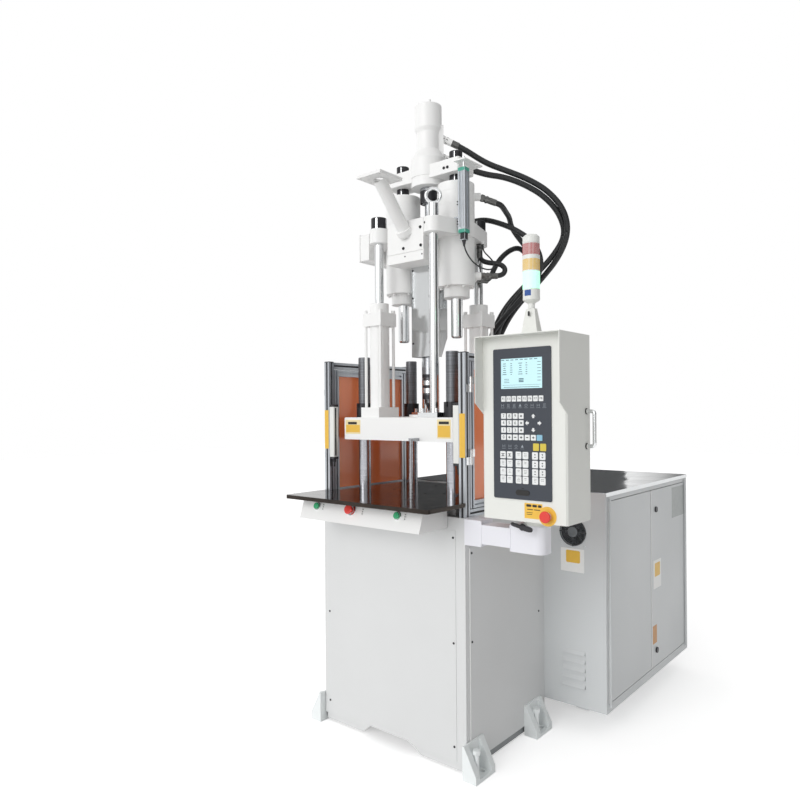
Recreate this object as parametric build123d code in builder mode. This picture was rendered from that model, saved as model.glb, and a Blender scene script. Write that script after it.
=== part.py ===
from build123d import *
from math import atan2, cos, degrees, radians, sin, tan
import os

# Vertical injection moulding machine, in millimetres.
# The origin is on the floor under the clamp axis, +X to the machine's right, +Y to the back, +Z up.

# Clearances
seat_gap = 0.1
guide_gap = 0.08
free_gap = 0.3
door_gap = 3

# Machine base
base_half = 385
base_front = -290
base_back = 330
rail_bottom = 10
rail_inset = 6
base_bottom = 40
base_top = 987
base_wall = 8
base_top_plate = 12
cover_sheet = 2
front_cover_inset = (17, 45)
front_cover_x = (front_cover_inset[0] - base_half, base_half - front_cover_inset[1])
front_cover_z = (44, 935)
side_cover_y = (-265, 290)
side_cover_z = (40, 870)
cover_lap = 40
notch_top_x = (-108, 97)
notch_bottom_x = (-164, 156)
notch_height = 43

# Levelling feet
foot_y = ((-322, -188), (144, 278))
foot_reach = 62
foot_height = 130
foot_toe = 30
foot_plate = 14
gusset = 28
foot_back = 8
anchor_radius = 9
anchor_shift = 22
jack_radius = 10
jack_height = 95
jack_head = 16

# Clamp
tie_x = 245
tie_y = 170
tie_radius = 27.5
tie_thread_radius = 26
tie_bottom = 255
tie_top = 1641
platen_half_x = 310
platen_half_y = 245
fixed_platen_thick = 42
platen_bottom = 1274
platen_thick = 98
nozzle_hole_radius = 75
nozzle_ring = 20
nozzle_ring_height = 10
nut_radius = 36
nut_height = 63
nut_slot = 8
nut_slot_depth = 5
lower_nut_radius = 40
lower_nut_height = 68
lower_crosshead_z = (330, 400)
piston_rod_radius = 60
piston_rod_top = 700
rod_flange_radius = 90
rod_flange_height = 25
clamp_cylinder_radius = 110
clamp_cylinder_bottom = 620
clamp_flange_radius = 150
clamp_flange_height = 30
clamp_spigot_radius = 90
clamp_bore_top = 862
mould_bolt_radius = 8
mould_bolt_depth = 30
mould_wide = (280, 180)
mould_deep = (140, 260)
ejector_radius = 12.5
ejector_bottom = 880

# Table
table_side_inset = 2
table_post_gap = 5
table_front = -520
table_back = 250
table_thick = 16
tie_hole_gap = 1.5

# Button box
button_box_inset = (33, 82)
button_box_bottom = 943
button_box_front_bottom = -470
button_box_front_top = -440
button_box_wall = 2
button_height = 998
start_button_inset = (128, 199)
start_button_x = (start_button_inset[0] - base_half, base_half - start_button_inset[1])
table_stop_x = -57
button_radius = 11
button_depth = 24
button_proud = 5
button_head_radius = 13.5
bezel_radius = 17
bezel_height = 4
stop_stem_radius = 10
stop_head_radius = 20
stop_foot_radius = 14
stop_stem_proud = 12
stop_head_height = 12
stop_bezel_radius = 22

# Guards
profile = 30
profile_slot = 8
profile_slot_depth = 9
guard_post_y = (-285, 260)
guard_height = 635
door_sheet = 5
hinge_z = (1220, 1500)
hinge_height = 60
hinge_radius = 6
hinge_pin_radius = 3
hinge_leaf = 4
hinge_leaf_reach = 24
curtain_width = 28
curtain_depth = 30
curtain_z = (1195, 1420)
curtain_cap = 10

# Platen position sensor
sensor_x = 123
sensor_y = -291
sensor_rod_radius = 4
sensor_body_radius = 7
sensor_body_height = 60
sensor_bracket_height = 14

# Injection seat
boss_x = 152
boss_y = 168
boss_radius = 41
boss_z = (2142, 2205)
seat_half_x = 100
seat_front = -170
seat_back = 130
seat_z = (2040, 2217)
seat_ring = 8
seat_groove_z = 2078
seat_groove = 4
carriage_rod_radius = 20
carriage_thread_radius = 15
carriage_rod_bottom = 1600
carriage_bore_bottom = 1440
carriage_tube_radius = 43
carriage_foot = (105, 134)
carriage_foot_height = 44
carriage_tube_top = 1774
carriage_head = 105
carriage_head_height = 58
carriage_gland_radius = 41.5
carriage_gland_height = 43
carriage_tie_radius = 6.5
carriage_tie_reach = 43
carriage_nut_radius = 9
carriage_nut_height = 14
rod_nut_radius = 34
rod_nut_height = 50
guide_flange = 100
guide_flange_height = 20
guide_bolt_radius = 8
guide_bolt_height = 18
guide_bolt_reach = 36
eye_collar_radius = 22.5
eye_collar_height = 57
eye_ring_radius = 30
eye_ring_section = 7
eye_turn = 40

# Injection cylinders
cylinder_x = 150
cylinder_radius = 80
cylinder_z = (1936, 2380)
cylinder_joints = (2002, 2028, 2240, 2285, 2340)
joint_depth = 1
joint_width = 2
gland_radius = 56
gland_height = 47
gland_bolt_radius = 6
gland_bolt_reach = 68
gland_bolt_height = 9
injection_rod_radius = 25
injection_thread_radius = 20
injection_rod_bottom = 1716
port_radius = 17
port_length = 26
port_sink = 20
port_turn = 40
low_port_turn = 75
left_port_turn = 65
high_port_z = 2330
low_port_z = 1985
left_port_z = 2262
high_port_droop = 20
fitting_radius = 13
fitting_length = 46
fitting_overlap = 6
link_port = (186, 128)
link_port_bottom = 2112
link_port_radius = 12
sensor_gland = (226, 94)
sensor_gland_radius = 6
sensor_gland_height = 12

# Barrel, screw and nozzle
screw_radius = 17.5
screw_root_radius = 12.5
screw_tip = 1568
screw_flight_top = 2130
barrel_radius = 45
barrel_bottom = 1562
barrel_nose_radius = 33
barrel_nose_height = 84
barrel_flange_radius = 62
barrel_flange_height = 14
feed_port_radius = 18
feed_port_z = 2080
nozzle_tip = 1400
nozzle_tip_radius = 9
nozzle_radius = 24
nozzle_nut_radius = 31
nozzle_bore = 3
band_radius = 33
coupling_radius = 38
coupling_z = (2330, 2397)
motor_shaft_radius = 30
guard_half_x = 55
guard_half_y = 60
guard_bottom = 1639
guard_sheet = 1.5
guard_chamfer = 45

# Feed pipe
pipe_radius = 27.5
pipe_bore = 23
pipe_foot = (0, -158, 2156)
hopper_centre = (0, -333, 2360)
hopper_plate = (130, 140)
hopper_plate_thick = 12
hopper_bolts = (104, 112)
hopper_bolt_radius = 4.5
pipe_clamp_radius = 36
pipe_clamp_height = 22
transducer_bracket_x = 207

# Junction box
junction_x = (-298, -238.3)
junction_y = (-140, 60)
junction_z = (2090, 2210)
junction_lid = 6

# Injection head
crosshead_half_x = 205
crosshead_half_y = 60
crosshead_z = (2423, 2481)
hub_radius = 80
hub_ring_radius = 77.5
hub_ring_top = 2438
hub_bottom = 2397
rod_end_radius = 28
rod_end_height = 45
rod_lower_nut_bottom = 2386
motor_shoulder = 2521
motor_neck_bottom = 2567
motor_neck_radius = 51.5
motor_neck_top = 2655
motor_top_radius = 60.5
motor_top = 2767
motor_bolt_radius = 7
motor_bolt_height = 13
motor_port_z = (2515, 2678)
motor_port_reach = 67
motor_fitting_z = (2628, 2545)
motor_fitting_start = 52
motor_fitting_length = 60
motor_fitting_droop = 25
motor_port_width = 52
transducer_x = 244
transducer_y = -78
transducer_side = 35
transducer_z = (2142, 2414)
transducer_cap = 14
transducer_plug_z = (2112, 2142)
transducer_plug_side = 24
transducer_rod_radius = 3
transducer_rod_bottom = 2380
slider_arm_z = (2446, 2452)

# Control box
control_x = (516, 845)
control_y = (-363, -180)
control_z = (1014, 1660)
control_edge = 6
control_wall = 4
visor_front = -414
visor_bottom = 1426
visor_root = 1383
visor_sheet = 3
panel_x = (564, 790)
panel_z = (1090, 1615)
panel_thick = 4
screen_x = (595, 757)
screen_z = (1474, 1580)
screen_depth = 1.5
key_height = 1.2
key_side = 19
small_key_pitch = 21
number_key_pitch = 23.4
number_key_x = 606
number_key_z = (1379, 1355, 1330, 1305)
function_key_z = 1439
arrow_centre = (723, 1355)
arrow_reach = 23
arrow_side = 11
yellow_key_x = (733, 760)
yellow_key_z = 1273
machine_key_x = (603, 630, 665, 692, 729, 757)
machine_key_z = (1243, 1214, 1185, 1158)
machine_key = (22, 25)
panel_slot = (680, 1114)
panel_slot_size = (55, 19)
panel_stop_x = 772
panel_stop_z = 1040
handle_z = (1273, 1394)
handle_y = -215
handle_proud = 30
handle_radius = 6
handle_foot_radius = 9
swivel_x = 680
swivel_y = -270
swivel_radius = 44
swivel_bottom = 992
arm_y = (-312, -228)
arm_block_z = (892, 989)
arm_profile_z = (904, 975)
arm_block_end = 470
arm_elbow_start = 596
arm_elbow_end = 726
arm_flange_y = (-285, -215)
arm_flange_thick = 12
lamp_x = 665
lamp_y = -270
lamp_radius = 30
lamp_bracket_top = 1761
lamp_bracket_half = (34, 20)
lamp_base_top = 1828
lamp_top = 2024
lamp_joints = (1828, 1890, 1942, 1994)

# Rear cabinet
cabinet_x = (-392, 678)
cabinet_y = (330, 1394)
cabinet_z = (104, 1042)
cabinet_wall = 3
cabinet_top_thick = 3
cabinet_top_lap = 3
cabinet_top_drop = 14
skid_x = (-222, 508)
skid_y = (520, 1204)
skid_width = 60
skid_bottom = 12
skid_pad_radius = 30
cabinet_door_y = (355, 1360)
cabinet_door_seam = 858
cabinet_door_z = (144, 1005)
cabinet_door_thick = 18
cabinet_door_sheet = 2
cabinet_hinge_radius = 5
hinge_lug_height = 16
lock_y = 927
lock_z = (219, 908)
lock_radius = 14
lock_stem_radius = 9
lock_proud = 6
lock_cam = 80
lock_cam_gap = 2
lock_cam_thick = 4
fan_x = 528
fan_z = 865
fan_side = 120
fan_depth = 38
fan_bore = 57
fan_hub = 20
fan_tip = 55
fan_blades = 7
fan_blade = 2.5
fan_pitch = 35
fan_chord = 24
fan_rings = (22, 34, 46, 58)
fan_ring_width = 3
fan_grille_radius = 64
fan_grille_thick = 8
louvre_x = (477, 582)
louvre_z = (170, 350)
louvre_count = 5
louvre_height = 16
louvre_proud = 9
tank_x = (-360, 250)
tank_y = (420, 1360)
tank_height = 360
pump_motor_radius = 120
pump_motor_length = 380
pump_radius = 65
pump_length = 190
pump_axis = (-120, 620)
manifold = (180, 150, 170)
manifold_place = (120, 560)
electrics_x = (560, 566)
electrics_y = (420, 1290)
electrics_z = (230, 940)

# Hoses and the sensor's cable
motor_hose_radius = 13
cylinder_hose_radius = 12
link_hose_radius = 11
sensor_cable_radius = 3
hose_gland_radius = 17
hose_gland_height = 30
hose_gland_places = [(15, 470), (15, 425), (75, 434), (75, 393), (75, 352)]


def block(x, y, z, mode=Mode.ADD):
    """A rectangular block between two limits on each axis."""
    with Locations(((x[0] + x[1]) / 2, (y[0] + y[1]) / 2, (z[0] + z[1]) / 2)):
        Box(x[1] - x[0], y[1] - y[0], z[1] - z[0], mode=mode)


def round_bar(places, radius, z, mode=Mode.ADD):
    """Upright round bars of one radius at several places."""
    with BuildSketch(Plane.XY.offset(z[0])) as section:
        with Locations(*places):
            Circle(radius)
    extrude(section.sketch, amount=z[1] - z[0], mode=mode)


def square_bar(places, side, z, mode=Mode.ADD):
    """Upright square bars at several places."""
    with BuildSketch(Plane.XY.offset(z[0])) as section:
        with Locations(*places):
            Rectangle(side[0], side[1])
    extrude(section.sketch, amount=z[1] - z[0], mode=mode)


def disc(plane, radius, length, mode=Mode.ADD):
    """A round bar that stands on a plane."""
    with BuildSketch(plane) as section:
        Circle(radius)
    extrude(section.sketch, amount=length, mode=mode)


def four(x, y):
    """The four corners of a rectangle about the clamp axis."""
    return [(-x, -y), (x, -y), (-x, y), (x, y)]


def heading(turn, droop=0.0):
    """A direction turned from the machine's right towards its back, and drooping below level."""
    level = cos(radians(droop))
    return Vector(level * cos(radians(turn)), level * sin(radians(turn)), -sin(radians(droop)))


def side_plane(x, turn, reach, z, droop=0.0):
    """A plane that stands off an upright axis, facing a turned and drooping direction."""
    level = heading(turn)
    return Plane(
        origin=Vector(x, 0, z) + level * reach,
        x_dir=(-level.Y, level.X, 0),
        z_dir=heading(turn, droop),
    )


def cylinder_fitting(x, turn, z, droop=0.0):
    """The plane where the crimped fitting of a hose begins, inside a cylinder's port."""
    return side_plane(x, turn, cylinder_radius + port_length - fitting_overlap, z, droop)


def cylinder_port(fitting, x, turn, z):
    """A hose port on an injection cylinder with the crimped fitting of its hose."""
    disc(side_plane(x, turn, cylinder_radius - port_sink, z), port_radius, port_length + port_sink)
    disc(fitting, fitting_radius, fitting_length)


def panel_stop_plane(proud=0.0):
    """The plane of the stop button on the control box's face."""
    return Plane(
        origin=(panel_stop_x, control_y[0] - proud, panel_stop_z),
        x_dir=(1, 0, 0),
        z_dir=(0, -1, 0),
    )


def corner_radii(points):
    """The largest arc that each corner of a route leaves room for."""
    runs = [Vector(*end) - Vector(*start) for start, end in zip(points, points[1:])]
    return [
        0.45 * min(one.length, two.length) / tan(radians(one.get_angle(two)) / 2)
        for one, two in zip(runs, runs[1:])
    ]


def hose(name, start, first_run, points, radius):
    """A hose that leaves its fitting squarely, in straight runs joined by tangent arcs."""
    route_points = [start.origin, start.offset(first_run).origin, *points]
    radii = corner_radii(route_points)
    with BuildLine() as route:
        FilletPolyline(*route_points, radius=radii)
    with BuildSketch(start) as section:
        Circle(radius)
    sweep(section.sketch, path=route.line)
    length = sum(edge.length for edge in route.edges())
    print(name, "length", round(length), "tightest bend", round(min(radii)))


high_fitting = cylinder_fitting(cylinder_x, port_turn, high_port_z, high_port_droop)
low_fitting = cylinder_fitting(cylinder_x, port_turn, low_port_z)
rear_fitting = cylinder_fitting(cylinder_x, low_port_turn, low_port_z)
left_fitting = cylinder_fitting(-cylinder_x, left_port_turn, left_port_z)
motor_fittings = [
    side_plane(0, port_turn, motor_fitting_start, z, motor_fitting_droop) for z in motor_fitting_z
]
tie_places = four(tie_x, tie_y)
front_left_boss = (-boss_x, -boss_y)
rear_right_boss = (boss_x, boss_y)
front_right_boss = (boss_x, -boss_y)
rear_left_boss = (-boss_x, boss_y)
carriage_places = [front_left_boss, rear_right_boss]
guide_places = [front_right_boss, rear_left_boss]
cylinder_places = [(-cylinder_x, 0), (cylinder_x, 0)]
fixed_platen_top = base_top + fixed_platen_thick
table_top = fixed_platen_top + table_thick
platen_top = platen_bottom + platen_thick
guard_z = (base_top, base_top + guard_height)

# Base weldment: a box of plate, open below, on a dark inset rail
base_depth = base_back - base_front
base_middle = (base_back + base_front) / 2
with BuildPart() as base_frame:
    with BuildSketch(Plane.XY.offset(base_bottom)):
        with Locations((0, base_middle)):
            Rectangle(2 * base_half, base_depth)
            Rectangle(2 * (base_half - base_wall), base_depth - 2 * base_wall, mode=Mode.SUBTRACT)
    extrude(amount=base_top - base_bottom)
    with BuildSketch(Plane.XY.offset(rail_bottom)):
        with Locations((0, base_middle)):
            Rectangle(2 * (base_half - rail_inset), base_depth - 2 * rail_inset)
            Rectangle(2 * (base_half - 6 * base_wall), base_depth - 12 * base_wall, mode=Mode.SUBTRACT)
    extrude(amount=base_bottom - rail_bottom)
    block(
        (-base_half, base_half),
        (base_front, base_back),
        (base_top - base_top_plate, base_top),
    )
    round_bar(tie_places, tie_radius + tie_hole_gap, (base_top - base_top_plate, base_top), Mode.SUBTRACT)
    round_bar(
        [(0, 0)], clamp_spigot_radius + seat_gap, (base_top - base_top_plate, base_top), Mode.SUBTRACT
    )
    block(
        (front_cover_x[0] + cover_lap, front_cover_x[1] - cover_lap),
        (base_front, base_front + base_wall),
        (front_cover_z[0] + 2 * cover_lap, front_cover_z[1] - cover_lap),
        Mode.SUBTRACT,
    )
    block(
        (-base_half, base_half),
        (side_cover_y[0] + cover_lap, side_cover_y[1] - cover_lap),
        (side_cover_z[0] + 2 * cover_lap, side_cover_z[1] - cover_lap),
        Mode.SUBTRACT,
    )
    with BuildSketch(Plane.XZ.offset(-base_front)):
        with BuildLine():
            Polyline(
                (notch_bottom_x[0], rail_bottom),
                (notch_bottom_x[1], rail_bottom),
                (notch_top_x[1], rail_bottom + notch_height),
                (notch_top_x[0], rail_bottom + notch_height),
                close=True,
            )
        make_face()
    extrude(amount=-6 * base_wall, mode=Mode.SUBTRACT)

# Bolted sheet covers of the base: the front one and the two side ones
with BuildPart() as base_covers:
    with BuildSketch(Plane.XZ.offset(-base_front)):
        with BuildLine():
            Polyline(
                (front_cover_x[0], front_cover_z[0]),
                (front_cover_x[0], front_cover_z[1]),
                (front_cover_x[1], front_cover_z[1]),
                (front_cover_x[1], front_cover_z[0]),
                (notch_top_x[1] + notch_height / 2, front_cover_z[0]),
                (notch_top_x[1], rail_bottom + notch_height),
                (notch_top_x[0], rail_bottom + notch_height),
                (notch_top_x[0] - notch_height / 2, front_cover_z[0]),
                close=True,
            )
        make_face()
    extrude(amount=cover_sheet)
    for side in (-1, 1):
        block(
            sorted((side * base_half, side * (base_half + cover_sheet))),
            side_cover_y,
            side_cover_z,
        )

# Levelling feet: two gussets on a floor plate and a back plate, with a jack bolt between them
with BuildPart() as levelling_feet:
    for side in (-1, 1):
        wall = side * (base_half + cover_sheet)
        for near, far in foot_y:
            middle = (near + far) / 2
            for start in (near, far - gusset):
                with BuildSketch(Plane.XZ.offset(-start)):
                    with BuildLine():
                        Polyline(
                            (wall, 0),
                            (wall + side * foot_reach, 0),
                            (wall + side * foot_reach, foot_toe),
                            (wall + side * foot_back, foot_height),
                            (wall, foot_height),
                            close=True,
                        )
                    make_face()
                extrude(amount=-gusset)
            block(sorted((wall, wall + side * foot_reach)), (near, far), (0, foot_plate))
            block(sorted((wall, wall + side * foot_back)), (near, far), (0, foot_height))
            bolt_x = wall + side * (foot_back + foot_reach) / 2
            round_bar([(bolt_x, middle + anchor_shift)], anchor_radius, (0, foot_plate), Mode.SUBTRACT)
            round_bar(
                [(bolt_x, middle - anchor_shift)], jack_radius + seat_gap, (0, foot_plate), Mode.SUBTRACT
            )
    for side in (-1, 1):
        for near, far in foot_y:
            bolt_x = side * (base_half + cover_sheet + (foot_back + foot_reach) / 2)
            bolt_y = (near + far) / 2 - anchor_shift
            round_bar([(bolt_x, bolt_y)], jack_radius, (0, jack_height))
            with BuildSketch(Plane.XY.offset(jack_height)):
                with Locations((bolt_x, bolt_y)):
                    RegularPolygon(jack_head, 6)
            extrude(amount=jack_head)

# Fixed platen with its four guide bores
with BuildPart() as fixed_platen:
    block((-platen_half_x, platen_half_x), (-platen_half_y, platen_half_y), (base_top, fixed_platen_top))
    round_bar(tie_places, tie_radius + guide_gap, (base_top, fixed_platen_top), Mode.SUBTRACT)
    round_bar([(0, 0)], ejector_radius + guide_gap, (base_top, fixed_platen_top), Mode.SUBTRACT)

# Table plate, narrower behind the guard posts, with the mould bolt holes and the ejector bore
table_half = base_half - table_side_inset
table_rear_half = base_half - profile - table_post_gap
with BuildPart() as table:
    with BuildSketch(Plane.XY.offset(fixed_platen_top)):
        with BuildLine():
            Polyline(
                (-table_half, table_front),
                (table_half, table_front),
                (table_half, guard_post_y[0] - door_gap),
                (table_rear_half, guard_post_y[0] - door_gap),
                (table_rear_half, table_back),
                (-table_rear_half, table_back),
                (-table_rear_half, guard_post_y[0] - door_gap),
                (-table_half, guard_post_y[0] - door_gap),
                close=True,
            )
        make_face()
        with Locations(*tie_places):
            Circle(tie_radius + tie_hole_gap, mode=Mode.SUBTRACT)
        Circle(ejector_radius + tie_hole_gap, mode=Mode.SUBTRACT)
        with GridLocations(*mould_wide, 2, 2):
            Circle(mould_bolt_radius, mode=Mode.SUBTRACT)
        with GridLocations(*mould_deep, 2, 2):
            Circle(mould_bolt_radius, mode=Mode.SUBTRACT)
    extrude(amount=table_thick)
    fillet(
        table.edges().filter_by(Axis.Z).filter_by(lambda e: e.center().Y < table_front + 1),
        radius=table_thick / 2,
    )

# Ejector rod, flush with the table
with BuildPart() as ejector_rod:
    round_bar([(0, 0)], ejector_radius, (ejector_bottom, table_top))

# Clamp cylinder hung under the base's top plate, its head bored for the ejector
with BuildPart() as clamp_cylinder:
    round_bar([(0, 0)], clamp_cylinder_radius, (clamp_cylinder_bottom, base_top - base_top_plate))
    round_bar(
        [(0, 0)],
        clamp_flange_radius,
        (base_top - base_top_plate - clamp_flange_height, base_top - base_top_plate),
    )
    round_bar([(0, 0)], clamp_spigot_radius, (base_top - base_top_plate, base_top))
    round_bar(
        [(0, 0)], piston_rod_radius + guide_gap, (clamp_cylinder_bottom, clamp_bore_top), Mode.SUBTRACT
    )
    round_bar([(0, 0)], ejector_radius + guide_gap, (ejector_bottom, base_top), Mode.SUBTRACT)

# Lower crosshead that pulls the tie bars, with the flanged piston rod that drives it
with BuildPart() as lower_crosshead:
    block((-platen_half_x, platen_half_x), (-platen_half_y, platen_half_y), lower_crosshead_z)
    round_bar([(0, 0)], piston_rod_radius, (lower_crosshead_z[1], piston_rod_top))
    round_bar(
        [(0, 0)], rod_flange_radius, (lower_crosshead_z[1], lower_crosshead_z[1] + rod_flange_height)
    )
    round_bar(tie_places, tie_radius + seat_gap, lower_crosshead_z, Mode.SUBTRACT)

# Tie bars, turned down to thread size above the platen
with BuildPart() as tie_bars:
    round_bar(tie_places, tie_radius, (tie_bottom, platen_top))
    round_bar(tie_places, tie_thread_radius, (platen_top, tie_top))
    chamfer(tie_bars.faces().group_by(Axis.Z)[-1].edges(), length=3)

# Slotted round nuts: four on the platen, four under the lower crosshead
with BuildPart() as tie_bar_nuts:
    round_bar(tie_places, nut_radius, (platen_top, platen_top + nut_height))
    round_bar(
        tie_places,
        tie_thread_radius + seat_gap,
        (platen_top, platen_top + nut_height),
        Mode.SUBTRACT,
    )
    with BuildSketch(Plane.XY.offset(platen_top + nut_height)):
        for place in tie_places:
            with Locations(place):
                with PolarLocations(nut_radius, 4):
                    Rectangle(2 * nut_slot_depth, nut_slot)
    extrude(amount=-nut_height / 3, mode=Mode.SUBTRACT)
    round_bar(
        tie_places, lower_nut_radius, (lower_crosshead_z[0] - lower_nut_height, lower_crosshead_z[0])
    )
    round_bar(
        tie_places,
        tie_radius + seat_gap,
        (lower_crosshead_z[0] - lower_nut_height, lower_crosshead_z[0]),
        Mode.SUBTRACT,
    )

# Moving platen with the nozzle hole, its ring and the mould bolt holes below
with BuildPart() as platen:
    block((-platen_half_x, platen_half_x), (-platen_half_y, platen_half_y), (platen_bottom, platen_top))
    chamfer(platen.edges().filter_by(Axis.Z), length=12)
    chamfer(platen.faces().sort_by(Axis.Z)[-1].edges(), length=3)
    round_bar([(0, 0)], nozzle_hole_radius + nozzle_ring, (platen_top, platen_top + nozzle_ring_height))
    round_bar(
        [(0, 0)], nozzle_hole_radius, (platen_bottom, platen_top + nozzle_ring_height), Mode.SUBTRACT
    )
    round_bar(tie_places, tie_radius + seat_gap, (platen_bottom, platen_top), Mode.SUBTRACT)
    with BuildSketch(Plane.XY.offset(platen_bottom)):
        with GridLocations(*mould_wide, 2, 2):
            Circle(mould_bolt_radius)
        with GridLocations(*mould_deep, 2, 2):
            Circle(mould_bolt_radius)
    extrude(amount=mould_bolt_depth, mode=Mode.SUBTRACT)

# Button box under the table's front, a folded sheet case with a leaning face
button_lean = degrees(
    atan2(button_box_front_top - button_box_front_bottom, fixed_platen_top - button_box_bottom)
)
button_axis = Vector(0, -cos(radians(button_lean)), sin(radians(button_lean)))
button_y = button_box_front_bottom + (button_height - button_box_bottom) * tan(radians(button_lean))


def button_plane(x, proud=0.0):
    """The plane of a push button on the box's leaning face, its normal pointing out."""
    centre = Vector(x, button_y, button_height) + button_axis * proud
    return Plane(origin=centre, x_dir=(1, 0, 0), z_dir=button_axis)


with BuildPart() as button_box:
    with BuildSketch(Plane.YZ.offset(button_box_inset[0] - base_half)):
        with BuildLine():
            Polyline(
                (base_front - cover_sheet, button_box_bottom),
                (button_box_front_bottom, button_box_bottom),
                (button_box_front_top, fixed_platen_top),
                (base_front - cover_sheet, fixed_platen_top),
                close=True,
            )
        make_face()
    extrude(amount=2 * base_half - sum(button_box_inset))
    offset(amount=-button_box_wall, openings=button_box.faces().sort_by(Axis.Y)[-1])
    for x in start_button_x:
        with BuildSketch(button_plane(x)):
            Circle(bezel_radius)
        extrude(amount=bezel_height)
        with BuildSketch(button_plane(x)):
            Circle(button_radius + free_gap)
        extrude(amount=2 * bezel_height, both=True, mode=Mode.SUBTRACT)
    with BuildSketch(button_plane(table_stop_x)):
        Circle(stop_bezel_radius)
    extrude(amount=bezel_height)
    with BuildSketch(button_plane(table_stop_x)):
        Circle(stop_stem_radius + free_gap)
    extrude(amount=2 * bezel_height, both=True, mode=Mode.SUBTRACT)


def push_button(x):
    """A round push button through the box's face, with a wider cap."""
    disc(button_plane(x, -button_depth), button_radius, button_depth + bezel_height + button_proud)
    disc(button_plane(x, bezel_height + button_proud), button_head_radius, button_proud)


def stop_button(plane_at, depth):
    """A mushroom emergency stop button on a stem, its head widening to a rim."""
    disc(plane_at(-depth), stop_stem_radius, depth + stop_stem_proud)
    with BuildSketch(plane_at(stop_stem_proud)) as foot:
        Circle(stop_foot_radius)
    with BuildSketch(plane_at(stop_stem_proud + stop_head_height / 2)) as rim:
        Circle(stop_head_radius)
    loft([foot.sketch.face(), rim.sketch.face()])
    disc(plane_at(stop_stem_proud + stop_head_height / 2), stop_head_radius, stop_head_height / 2)


with BuildPart() as left_start_button:
    push_button(start_button_x[0])
    fillet(left_start_button.faces().sort_by(Axis.Y)[0].edges(), radius=2)

with BuildPart() as right_start_button:
    push_button(start_button_x[1])
    fillet(right_start_button.faces().sort_by(Axis.Y)[0].edges(), radius=2)

with BuildPart() as table_estop:
    stop_button(lambda proud: button_plane(table_stop_x, bezel_height + proud), button_depth)
    fillet(table_estop.faces().sort_by(Axis.Y)[0].edges(), radius=4)


# Guards of slotted aluminium profile at both sides of the clamp
def slotted_bar(place, axis, start, length, mode=Mode.ADD):
    """A square profile along Z or Y with a slot down the middle of each side."""
    plane = Plane.XY.offset(start) if axis == "z" else Plane.XZ.offset(-start)
    with BuildSketch(plane) as section:
        with Locations(place):
            Rectangle(profile, profile)
            with PolarLocations(profile / 2, 4):
                Rectangle(2 * profile_slot_depth, profile_slot, mode=Mode.SUBTRACT)
    extrude(section.sketch, amount=length if axis == "z" else -length, mode=mode)


def hinge_axis(side):
    """Where the upright axis of a guard door stands."""
    return (
        side * (base_half + hinge_radius),
        guard_post_y[0] + profile + door_gap / 2,
    )


def hinge_knuckle(side, low, high, leaf_y):
    """A knuckle and the leaf that carries it on the face of a profile."""
    x, y = hinge_axis(side)
    round_bar([(x, y)], hinge_radius, (low, high))
    block(
        sorted((side * base_half, side * (base_half + hinge_leaf))),
        sorted((y + leaf_y[0], y + leaf_y[1])),
        (low, high),
    )


post_inner = base_half - profile / 2
door_y = (guard_post_y[0] + profile + door_gap, guard_post_y[1] - door_gap)
door_z = (guard_z[0] + profile + door_gap, guard_z[1] - profile - door_gap)
pane_inset = profile - profile_slot_depth + free_gap
with BuildPart() as guard_frames:
    for side in (-1, 1):
        for start in guard_post_y:
            slotted_bar((side * post_inner, start + profile / 2), "z", guard_z[0], guard_height)
        rail_start = guard_post_y[0] + profile
        rail_length = guard_post_y[1] - rail_start
        for z in (guard_z[0] + profile / 2, guard_z[1] - profile / 2):
            slotted_bar((side * post_inner, z), "y", rail_start, rail_length)
        for z in hinge_z:
            hinge_knuckle(side, z - hinge_height / 2, z - free_gap, (-hinge_leaf_reach, 0))
            round_bar([hinge_axis(side)], hinge_pin_radius, (z - free_gap, z + hinge_height / 2))


def guard_door(side):
    """A door frame of four profiles with its upper hinge halves."""
    x = side * post_inner
    for y in (door_y[0] + profile / 2, door_y[1] - profile / 2):
        slotted_bar((x, y), "z", door_z[0], door_z[1] - door_z[0])
    for z in (door_z[0] + profile / 2, door_z[1] - profile / 2):
        slotted_bar((x, z), "y", door_y[0] + profile, door_y[1] - door_y[0] - 2 * profile)
    for z in hinge_z:
        hinge_knuckle(side, z, z + hinge_height / 2, (0, hinge_leaf_reach))
        round_bar(
            [hinge_axis(side)], hinge_pin_radius + guide_gap, (z, z + hinge_height / 2), Mode.SUBTRACT
        )


def door_pane(side):
    """The clear sheet that stands in the door frame's inner slots."""
    block(
        sorted((side * (post_inner - door_sheet / 2), side * (post_inner + door_sheet / 2))),
        (door_y[0] + pane_inset, door_y[1] - pane_inset),
        (door_z[0] + pane_inset, door_z[1] - pane_inset),
    )


with BuildPart() as left_guard_door:
    guard_door(-1)

with BuildPart() as right_guard_door:
    guard_door(1)

with BuildPart() as left_door_pane:
    door_pane(-1)

with BuildPart() as right_door_pane:
    door_pane(1)

# Light curtain bars on the inner faces of the front posts
curtain_outer = base_half - profile
with BuildPart() as light_curtains:
    for side in (-1, 1):
        near = sorted((side * curtain_outer, side * (curtain_outer - curtain_width)))
        block(near, (guard_post_y[0], guard_post_y[0] + curtain_depth), curtain_z)
        inset = sorted((side * curtain_outer, side * (curtain_outer - curtain_width + 3)))
        for z in ((curtain_z[0] - curtain_cap, curtain_z[0]), (curtain_z[1], curtain_z[1] + curtain_cap)):
            block(inset, (guard_post_y[0] + 3, guard_post_y[0] + curtain_depth - 3), z)
    chamfer(light_curtains.edges().filter_by(Axis.Z), length=2)

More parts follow.
